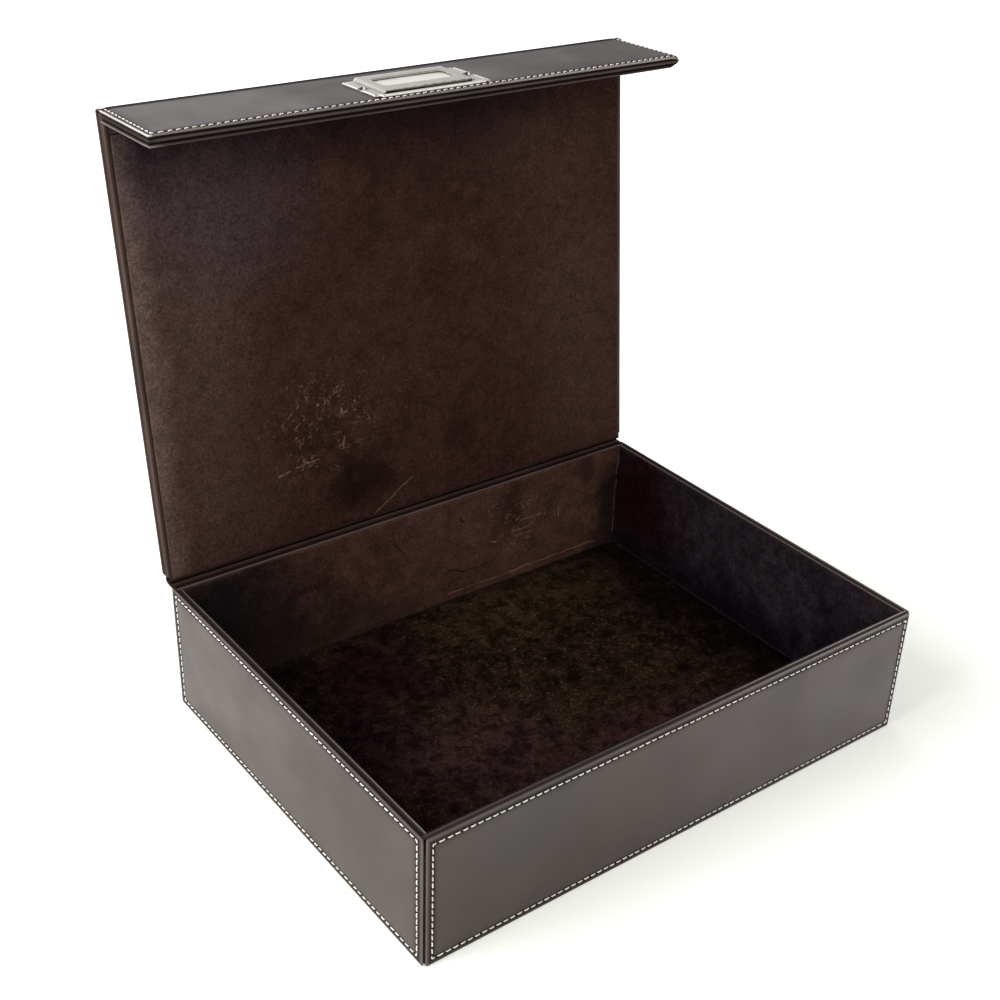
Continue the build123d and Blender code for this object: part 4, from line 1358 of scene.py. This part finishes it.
# ---- Label holder -----------------------------------------------------------------------------------
PLATE_W = 69.5
PLATE_D = 34.8
PLATE_T = 0.6
SHOULDER_D = 31.6          # depth at its ends, behind the notches
TAB_W = 63.0               # width in front of the notches
NOTCH_R = 1.5
TIP_R = 0.4
EAR_R = 5.0                # round bulge beside each pin
EAR_REACH = 0.8
RAISED_W = 57.0
RAISED_REAR_H = 2.3
RAISED_FRONT_H = 1.6
RAISED_FRONT = 12.0        # from the plate's middle
FLANK = 1.6
WINDOW_W = 44.0
WINDOW_D = 14.0
WINDOW_SHIFT = -3.5
WINDOW_R = 2.5
MOUTH_W = 54.0             # narrow opening in front of the raised part
MOUTH_LEFT = 2.2           # its depth at its left end and at its right end
MOUTH_RIGHT = 0.25
PIN_X = 32.6
PIN_SHIFT = -0.3
PIN_R = 1.75
PIN_H = 1.25
PIN_RING = (0.75, 0.35, 0.2)   # low ring pressed up round a pin: gap from it, width and height
LIT_FRONT = 14.3          # the lip in front of this is painted bright as highlight
EDGE_DROP = 0.35           # how far the plate's rounded edge goes down
WINDOW_DROP = 0.2          # and the window's
CARD_BOW = 0.3             # how far the card's rear edge is bowed up


def arc(centre, radius, start, end, steps=6):
    """Points on an arc between two angles in degrees."""
    spots = []
    for k in range(steps + 1):
        angle = math.radians(start + (end - start) * k / steps)
        spots.append((centre[0] + radius * math.cos(angle), centre[1] + radius * math.sin(angle)))
    return spots


def plate_outline():
    """The plate seen from above, anticlockwise: straight rear, an ear at each pin, notched front."""
    half_w, half_d, half_t = PLATE_W / 2, PLATE_D / 2, TAB_W / 2
    shoulder = SHOULDER_D - half_d
    ear_x = half_w + EAR_REACH - EAR_R
    ear = math.degrees(math.acos((half_w - ear_x) / EAR_R))
    right = arc((half_w - TIP_R, -half_d + TIP_R), TIP_R, -90, 0, 3)
    right += arc((ear_x, PIN_SHIFT), EAR_R, -ear, ear, 10)
    right += arc((half_w - TIP_R, shoulder - TIP_R), TIP_R, 0, 90, 3)
    right += arc((half_t + NOTCH_R, shoulder + NOTCH_R), NOTCH_R, -90, -180)
    right += arc((half_t - TIP_R, half_d - TIP_R), TIP_R, 0, 90, 3)
    return right + [(-x, y) for x, y in reversed(right)]


def mouth_outline():
    """The opening along the raised part's front edge, deeper at its left end."""
    half = MOUTH_W / 2
    spots = [(half, RAISED_FRONT + MOUTH_LEFT), (-half, RAISED_FRONT + MOUTH_RIGHT)]
    spots += [(-half - 0.2, RAISED_FRONT + MOUTH_RIGHT / 2), (-half, RAISED_FRONT)]
    return spots + [(half, RAISED_FRONT), (half + 0.6, RAISED_FRONT + MOUTH_LEFT / 2)]


def window_outline():
    """The window in the raised part, anticlockwise from its rear right corner."""
    spots = []
    for x, y, start in ((1, 1, 0), (-1, 1, 90), (-1, -1, 180), (1, -1, 270)):
        centre = x * (WINDOW_W / 2 - WINDOW_R), y * (WINDOW_D / 2 - WINDOW_R) + WINDOW_SHIFT
        spots += arc(centre, WINDOW_R, start, start + 90)
    return spots


def divided(loop, step):
    """A closed loop with its long runs cut into steps."""
    spots = []
    for a, b in zip(loop, loop[1:] + loop[:1]):
        count = max(1, round(math.dist(a, b) / step))
        for k in range(count):
            spots.append((a[0] + (b[0] - a[0]) * k / count, a[1] + (b[1] - a[1]) * k / count))
    return spots


def shifted(loop, distance):
    """A closed anticlockwise loop moved to its left by a distance."""
    line = np.array(loop)
    run = np.roll(line, -1, 0) - np.roll(line, 1, 0)
    run /= np.linalg.norm(run, axis=1)[:, None]
    return [tuple(p) for p in line + np.stack([-run[:, 1], run[:, 0]], 1) * distance]


def plate_height(x, y):
    """Height of the pressed plate's upper face above the leather."""
    ramp = (y + PLATE_D / 2) / (RAISED_FRONT - FLANK / 2 + PLATE_D / 2)
    rise = RAISED_REAR_H + (RAISED_FRONT_H - RAISED_REAR_H) * np.clip(ramp, 0, 1) - PLATE_T
    ends = smooth_step((RAISED_W / 2 - np.abs(x)) / FLANK)
    front = smooth_step((RAISED_FRONT + 0.3 - y) / 0.3)
    gap, width, high = PIN_RING
    ring = np.hypot(np.abs(x) - PIN_X, y - PIN_SHIFT) - PIN_R - gap
    return PLATE_T + rise * ends * front + high * np.exp(-((ring / width) ** 2))


PLATE_BEVEL = 0.45
PLATE_STEP = 1.2           # between the points of the plate's outlines


def plate_grid(loops):
    """Inner points of the plate: closer along its raised part's flanks and round its pins."""
    fine = [RAISED_W / 2 - FLANK * t for t in (0, 0.2, 0.4, 0.6, 0.8, 1.0)]
    xs = sorted(set(list(np.arange(-35.5, 36, 1.0)) + fine + [-x for x in fine]))
    ys = sorted(set(list(np.arange(-17, 17.5, 1.0)) + [RAISED_FRONT + t for t in (-0.2, 0.05, 0.17, 0.32)]))
    round_pins = []
    for x in (-PIN_X, PIN_X):
        for gap in (-0.3, 0.05, 0.35, 0.7):
            ring = arc((x, PIN_SHIFT), PIN_R + gap, 0, 345, 23)
            round_pins += [p for p in ring if clear_of(loops, p, 0.2)]
    loops = loops + [round_pins]
    return [(x, y) for x in xs for y in ys if clear_of(loops, (x, y), 0.3)] + round_pins


def plate_faces(flat, loops, window, mouth):
    """Triangles of the plate seen from above, with its window and its mouth left open."""
    edges = []
    start = 0
    for loop in loops:
        edges += [(start + k, start + (k + 1) % len(loop)) for k in range(len(loop))]
        start += len(loop)
    made = delaunay_2d_cdt([Vector(p) for p in flat], edges, [], 1, 1e-6, True)
    names = [origin[0] if origin else -1 for origin in made[3]]
    faces = []
    for face in made[2]:
        ids = [names[k] for k in face]
        middle = flat[ids].mean(0)
        if min(ids) >= 0 and not inside(window, middle) and not inside(mouth, middle):
            faces.append(tuple(ids))
    return faces


def plate_grime_and_shade(flat):
    """Painted shade, with a little dirt, beside the pins and along the foot of the raised part."""
    aside, y = np.abs(flat[:, 0]), flat[:, 1]
    from_pin = np.hypot(aside - PIN_X, y - PIN_SHIFT) - PIN_R
    foot = np.abs(aside - RAISED_W / 2) + 4 * (y > RAISED_FRONT)
    beside = ((aside - PIN_X) / (from_pin + PIN_R + 0.01)) ** 2
    round_pin = np.exp(-((from_pin - 0.2) / 1.0) ** 2) * (0.3 + smooth_step(beside * 2 - 0.4))
    return np.clip(1.5 * round_pin + 0.5 * np.exp(-(foot / 0.5) ** 2), 0, 1)


def label_frame():
    """Pressed plate: one sheet of metal, its middle raised to make the card's slot."""
    outlines = (plate_outline(), window_outline(), mouth_outline())
    outer, window, mouth = (divided(outline, PLATE_STEP) for outline in outlines)
    loops = [outer, shifted(outer, PLATE_BEVEL), window, shifted(window, -PLATE_BEVEL), mouth]
    flat = np.array([p for loop in loops for p in loop] + plate_grid(loops))
    x, y = flat.T
    faces = plate_faces(flat, loops, window, mouth)
    count = len(flat)
    window_at = 2 * len(outer)
    mouth_at = window_at + 2 * len(window)
    top = plate_height(x, y)
    under = np.maximum(top - PLATE_T, 0.02)
    top[:len(outer)] -= EDGE_DROP
    top[window_at:window_at + len(window)] -= WINDOW_DROP
    rows = np.concatenate([np.column_stack([flat, top]), np.column_stack([flat, under])])
    # Painted highlight: the outer bevel and the front lip are painted near-white.
    polish_and_highlight = np.zeros(2 * count)
    polish_and_highlight[:count] = 0.6 * smooth_step((y - LIT_FRONT) / 0.8) * (np.abs(x) < TAB_W / 2)
    polish_and_highlight[:2 * len(outer)] = 1.0
    solid = faces + [tuple(k + count for k in reversed(face)) for face in faces]
    for at, loop in ((0, outer), (window_at, window), (mouth_at, mouth)):
        for k in range(len(loop)):
            a, b = at + k, at + (k + 1) % len(loop)
            solid.append((a, b, b + count, a + count))
    used = sorted({k for face in solid for k in face})
    order = {k: n for n, k in enumerate(used)}
    solid = [tuple(order[k] for k in face) for face in solid]
    marks = {"polish_and_highlight": polish_and_highlight[used], "grime_and_shade": np.tile(plate_grime_and_shade(flat), 2)[used]}
    make_piece("label_plate", HOLDER.place(rows[used]), solid, nickel, "flap",
               ("label_frame",), 40, marks)


def inside(loop, point):
    """Whether a point lies inside a closed loop."""
    hit = False
    for (ax, ay), (bx, by) in zip(loop, loop[1:] + loop[:1]):
        if (ay > point[1]) != (by > point[1]):
            if point[0] < ax + (point[1] - ay) * (bx - ax) / (by - ay):
                hit = not hit
    return hit


def clear_of(loops, point, gap):
    """Whether a grid point keeps a gap to every loop."""
    return all(min(math.dist(point, p) for p in loop) > gap for loop in loops)


PIN_SIDES = 28
SHANK_R = 0.75


def pin_shape(centre, profile):
    """Rows of (u, v, w) and faces of a turned shape; profile is (radius, height) from its tip down."""
    rows = [(*centre, profile[0][1])]
    faces = []
    for r, (radius, height) in enumerate(profile[1:]):
        for j in range(PIN_SIDES):
            angle = 2 * math.pi * j / PIN_SIDES
            spot = centre[0] + radius * math.cos(angle), centre[1] + radius * math.sin(angle)
            rows.append((*spot, height))
            after = (j + 1) % PIN_SIDES
            a, b = 1 + (r - 1) * PIN_SIDES, 1 + r * PIN_SIDES
            faces.append((a + j, b + j, b + after, a + after) if r else (0, 1 + j, 1 + after))
    last = 1 + (len(profile) - 2) * PIN_SIDES
    faces.append(tuple(last + j for j in reversed(range(PIN_SIDES))))
    return rows, faces


def label_pins():
    """Two domed escutcheon pins, each with a thin rolled rim."""
    rim = 0.12
    dome = [(0.0, PLATE_T + PIN_H)]
    for k in range(1, 7):
        turn = math.radians(13 * k)
        height = PLATE_T + rim + (PIN_H - rim) * math.cos(turn)
        dome.append((PIN_R * 0.92 * math.sin(turn), height))
    dome += [(PIN_R, PLATE_T + 0.16), (PIN_R + 0.05, PLATE_T + 0.05), (PIN_R - 0.1, PLATE_T - 0.02)]
    dome += [(SHANK_R, PLATE_T - 0.1), (SHANK_R, -3.5), (0.3, -4.0)]
    rows = []
    faces = []
    for x in (-PIN_X, PIN_X):
        more, shells = pin_shape((x, PIN_SHIFT), dome)
        faces += [tuple(k + len(rows) for k in face) for face in shells]
        rows += more
    rows = np.array(rows)
    # Painted reflection: the domes' sides are darkened as if mirroring dark surroundings, their tops
    # painted bright as highlight.
    from_axis = np.hypot(np.abs(rows[:, 0]) - PIN_X, rows[:, 1] - PIN_SHIFT)
    beside = (np.abs(np.abs(rows[:, 0]) - PIN_X) / np.maximum(from_axis, 0.01)) ** 2
    grime_and_shade = smooth_step((from_axis - 0.35) / 0.4) * smooth_step(beside * 2.5 - 0.4)
    make_piece("label_rivets", HOLDER.place(rows), faces, bright_nickel, "flap",
               ("label_pins",), 50, {"polish_and_highlight": 0.8 * (1 - grime_and_shade), "grime_and_shade": grime_and_shade})


CARD_STEPS = (18, 10)      # along and across


def label_card():
    """A blank card, turned a little in its holder and bowed up at its rear edge."""
    axes = np.array([FLAP_OUTSIDE.right, FLAP_OUTSIDE.up])
    corners = [v.co - FLAP_OUTSIDE.origin for v in frame["nodes"]["label_card"].data.vertices]
    flat = np.array(corners) @ axes.T / MM
    ends = flat[:, 0].argmin(), flat[:, 1].argmin(), flat[:, 0].argmax(), flat[:, 1].argmax()
    corners = flat[list(ends)]
    low, high = FLAP_OUTSIDE.span("label_card")
    steps_u, steps_v = CARD_STEPS
    rows = []
    for layer in (high[2], low[2]):
        for j in range(steps_v + 1):
            for i in range(steps_u + 1):
                rows.append((*card_spot(corners, i / steps_u, j / steps_v), layer))
    rows = np.array(rows)
    middle = (flat.min(0) + flat.max(0)) / 2
    rear = smooth_step((middle[1] + 6 - rows[:, 1]) / 16)
    rows[:, 2] += CARD_BOW * rear * (1 - ((rows[:, 0] - middle[0]) / 26) ** 2)
    faces = sheet_faces(steps_u, steps_v)
    make_piece("blank_card", FLAP_OUTSIDE.place(rows), faces, card, "label", ("label_card",), 40)


def sheet_faces(steps_u, steps_v):
    """Faces of a thin closed sheet: its upper grid of points, its lower one and the rim between."""
    width = steps_u + 1
    layer = width * (steps_v + 1)
    faces = []
    for j in range(steps_v):
        for i in range(steps_u):
            a = j * width + i
            faces.append((a, a + 1, a + 1 + width, a + width))
            faces.append((a + layer, a + width + layer, a + 1 + width + layer, a + 1 + layer))
    rim = list(range(width))
    rim += [j * width + steps_u for j in range(1, steps_v + 1)]
    rim += [steps_v * width + i for i in range(steps_u - 1, -1, -1)]
    rim += [j * width for j in range(steps_v - 1, 0, -1)]
    return faces + [(b, a, a + layer, b + layer) for a, b in zip(rim, rim[1:] + rim[:1])]


def card_spot(corners, s, t):
    """A place on the card, by its share along and across between the four corners."""
    a, b, c, d = corners
    return (a * (1 - s) + b * s) * (1 - t) + (d * (1 - s) + c * s) * t


holder_at = sum(FLAP_OUTSIDE.span("label_frame")) / 2
HOLDER = Face(FLAP_OUT, FLAP_DOWN,
              FOLD + (FLAP_OUTSIDE.right * holder_at[0] + FLAP_DOWN * holder_at[1]) * MM)


# ---- Whole box ----------------------------------------------------------------------------------------
for side in SIDES:
    wall(side)
    wall_lining(side)
    if side in RIMS:
        rim_binding(side, *RIMS[side])
floor_lining()
base_cover()
hinge_strip()
spine_strip()
lid_cover()
lid_lining()
lid_edging()
flap_edging()
flap_lining()
label_frame()
label_pins()
label_card()

for name, solid in frame["nodes"].items():
    if name.endswith("_board"):
        solid.data.materials.clear()
        solid.data.materials.append(board)


# ---- Floor, light and camera --------------------------------------------------------------------------
SHADOW_MIDDLE = (0.03, -0.08, 0.0)
SHADOW_REACH = (0.17, 0.6)         # metres from its middle, over which the paper turns plain white
SHADOW_LIFT = (0.28, 0.95)
# The floor's glow in reflections is painted light that grows away from this corner.
NEAR_CORNER = (-0.15, -0.1, 0.0)
REFLECTION_REACH = (0.05, 0.4)
REFLECTION_LIFT = (0.08, 0.6)
FLOOR_R = 12.0
FLOOR_SIDES = 48
FLOOR_DROP = 0.0002
ROOM_BRIGHT_SIDE = (-0.5, 0.87, 0.0)
ROOM_DIM = 0.2
ROOM_BRIGHT = 1.3

CAMERA_AT = (-0.44171, -0.53684, 0.52917)
CAMERA_PITCH = -30.369
CAMERA_TURN = 38.389       # from +Y towards +X
CAMERA_ROLL = 2.467
LENS = 53.96
LENS_SHIFT = (-0.02196, 0.0297)


def glow(tree, place, centre, reach, lift, when):
    """Light that grows with the distance from a centre, for one kind of ray."""
    away = vector_maths(tree, "DISTANCE", place, centre)
    return maths(tree, "MULTIPLY", ranged(tree, away, *reach, *lift, "SMOOTHSTEP"), when)


def studio_floor():
    """Seamless white paper that glows to plain white away from the box and keeps its soft contact shadow
    near it.
    In reflections it glows as painted light, more the farther from the box's near corner, so the leather
    mirrors more light there.
    """
    material, tree, shader, place = new_material("white_studio_paper")
    rays = node(tree, "LightPath").outputs
    looked_at = glow(tree, place, SHADOW_MIDDLE, SHADOW_REACH, SHADOW_LIFT, rays["Is Camera Ray"])
    mirrored = maths(tree, "MAXIMUM", rays["Is Glossy Ray"], rays["Is Transmission Ray"])
    reflected = glow(tree, place, NEAR_CORNER, REFLECTION_REACH, REFLECTION_LIFT, mirrored)
    feed(tree, shader, {
        "Base Color": linear(STUDIO_PAPER),
        "Roughness": 1.0,
        "Specular IOR Level": 0.0,
        "Emission Color": linear(WHITE),
        "Emission Strength": maths(tree, "ADD", looked_at, reflected),
    })
    mesh = bpy.data.meshes.new("studio_floor")
    turns = [2 * math.pi * k / FLOOR_SIDES for k in range(FLOOR_SIDES)]
    ring = [(FLOOR_R * math.cos(turn), FLOOR_R * math.sin(turn), -FLOOR_DROP) for turn in turns]
    mesh.from_pydata(ring, [], [tuple(range(FLOOR_SIDES))])
    mesh.materials.append(material)
    floor = bpy.data.objects.new("studio_floor", mesh)
    bpy.context.scene.collection.objects.link(floor)


def lamp(name, place, aim, size, power):
    """A square soft lamp; place, aim and size are in metres, its power in watts."""
    light = bpy.data.lights.new(name, "AREA")
    light.shape = "RECTANGLE"
    light.size = light.size_y = size
    light.energy = power
    holder = bpy.data.objects.new(name, light)
    holder.location = place
    holder.rotation_euler = (Vector(aim) - Vector(place)).to_track_quat("-Z", "Y").to_euler()
    bpy.context.scene.collection.objects.link(holder)


def studio_light():
    """White room, brighter behind the box, and two large soft lamps in front and at its left."""
    world = bpy.data.worlds.new("white_room")
    bpy.context.scene.world = world
    world.use_nodes = True
    tree = world.node_tree
    tree.nodes.clear()
    place = node(tree, "TexCoord").outputs["Generated"]
    towards = vector_maths(tree, "DOT_PRODUCT", place, ROOM_BRIGHT_SIDE)
    strength = ranged(tree, towards, 0.0, 0.8, ROOM_DIM, ROOM_BRIGHT, "SMOOTHSTEP")
    room = node(tree, "Background", {"Color": linear(WHITE), "Strength": strength}).outputs[0]
    seen = node(tree, "Background", {"Color": linear(WHITE), "Strength": 1.0}).outputs[0]
    looked_at = node(tree, "LightPath").outputs["Is Camera Ray"]
    light = node(tree, "MixShader", {0: looked_at, 1: room, 2: seen}).outputs[0]
    node(tree, "OutputWorld", {0: light})
    lamp("front_softbox", place=(-0.6, -1.9, 1.5), aim=(0, 0, 0.1), size=1.3, power=31)
    lamp("left_softbox", place=(-1.2, 0.1, 1.0), aim=(0, 0, 0.05), size=0.9, power=17)


def studio_camera():
    pitch, turn, roll = (math.radians(a) for a in (CAMERA_PITCH, CAMERA_TURN, CAMERA_ROLL))
    ahead = Vector((math.sin(turn) * math.cos(pitch), math.cos(turn) * math.cos(pitch), math.sin(pitch)))
    level = Vector((math.cos(turn), -math.sin(turn), 0))
    upright = level.cross(ahead)
    right = level * math.cos(roll) + upright * math.sin(roll)
    up = upright * math.cos(roll) - level * math.sin(roll)
    data = bpy.data.cameras.new("camera")
    data.lens = LENS
    data.sensor_width = 36.0
    data.shift_x, data.shift_y = LENS_SHIFT
    data.clip_start = 0.01
    camera = bpy.data.objects.new("camera", data)
    turning = Matrix((right, up, -ahead)).transposed()
    camera.matrix_world = Matrix.Translation(CAMERA_AT) @ turning.to_4x4()
    bpy.context.scene.collection.objects.link(camera)
    bpy.context.scene.camera = camera


studio_floor()
studio_light()
studio_camera()
bpy.context.scene.view_settings.view_transform = "Standard"
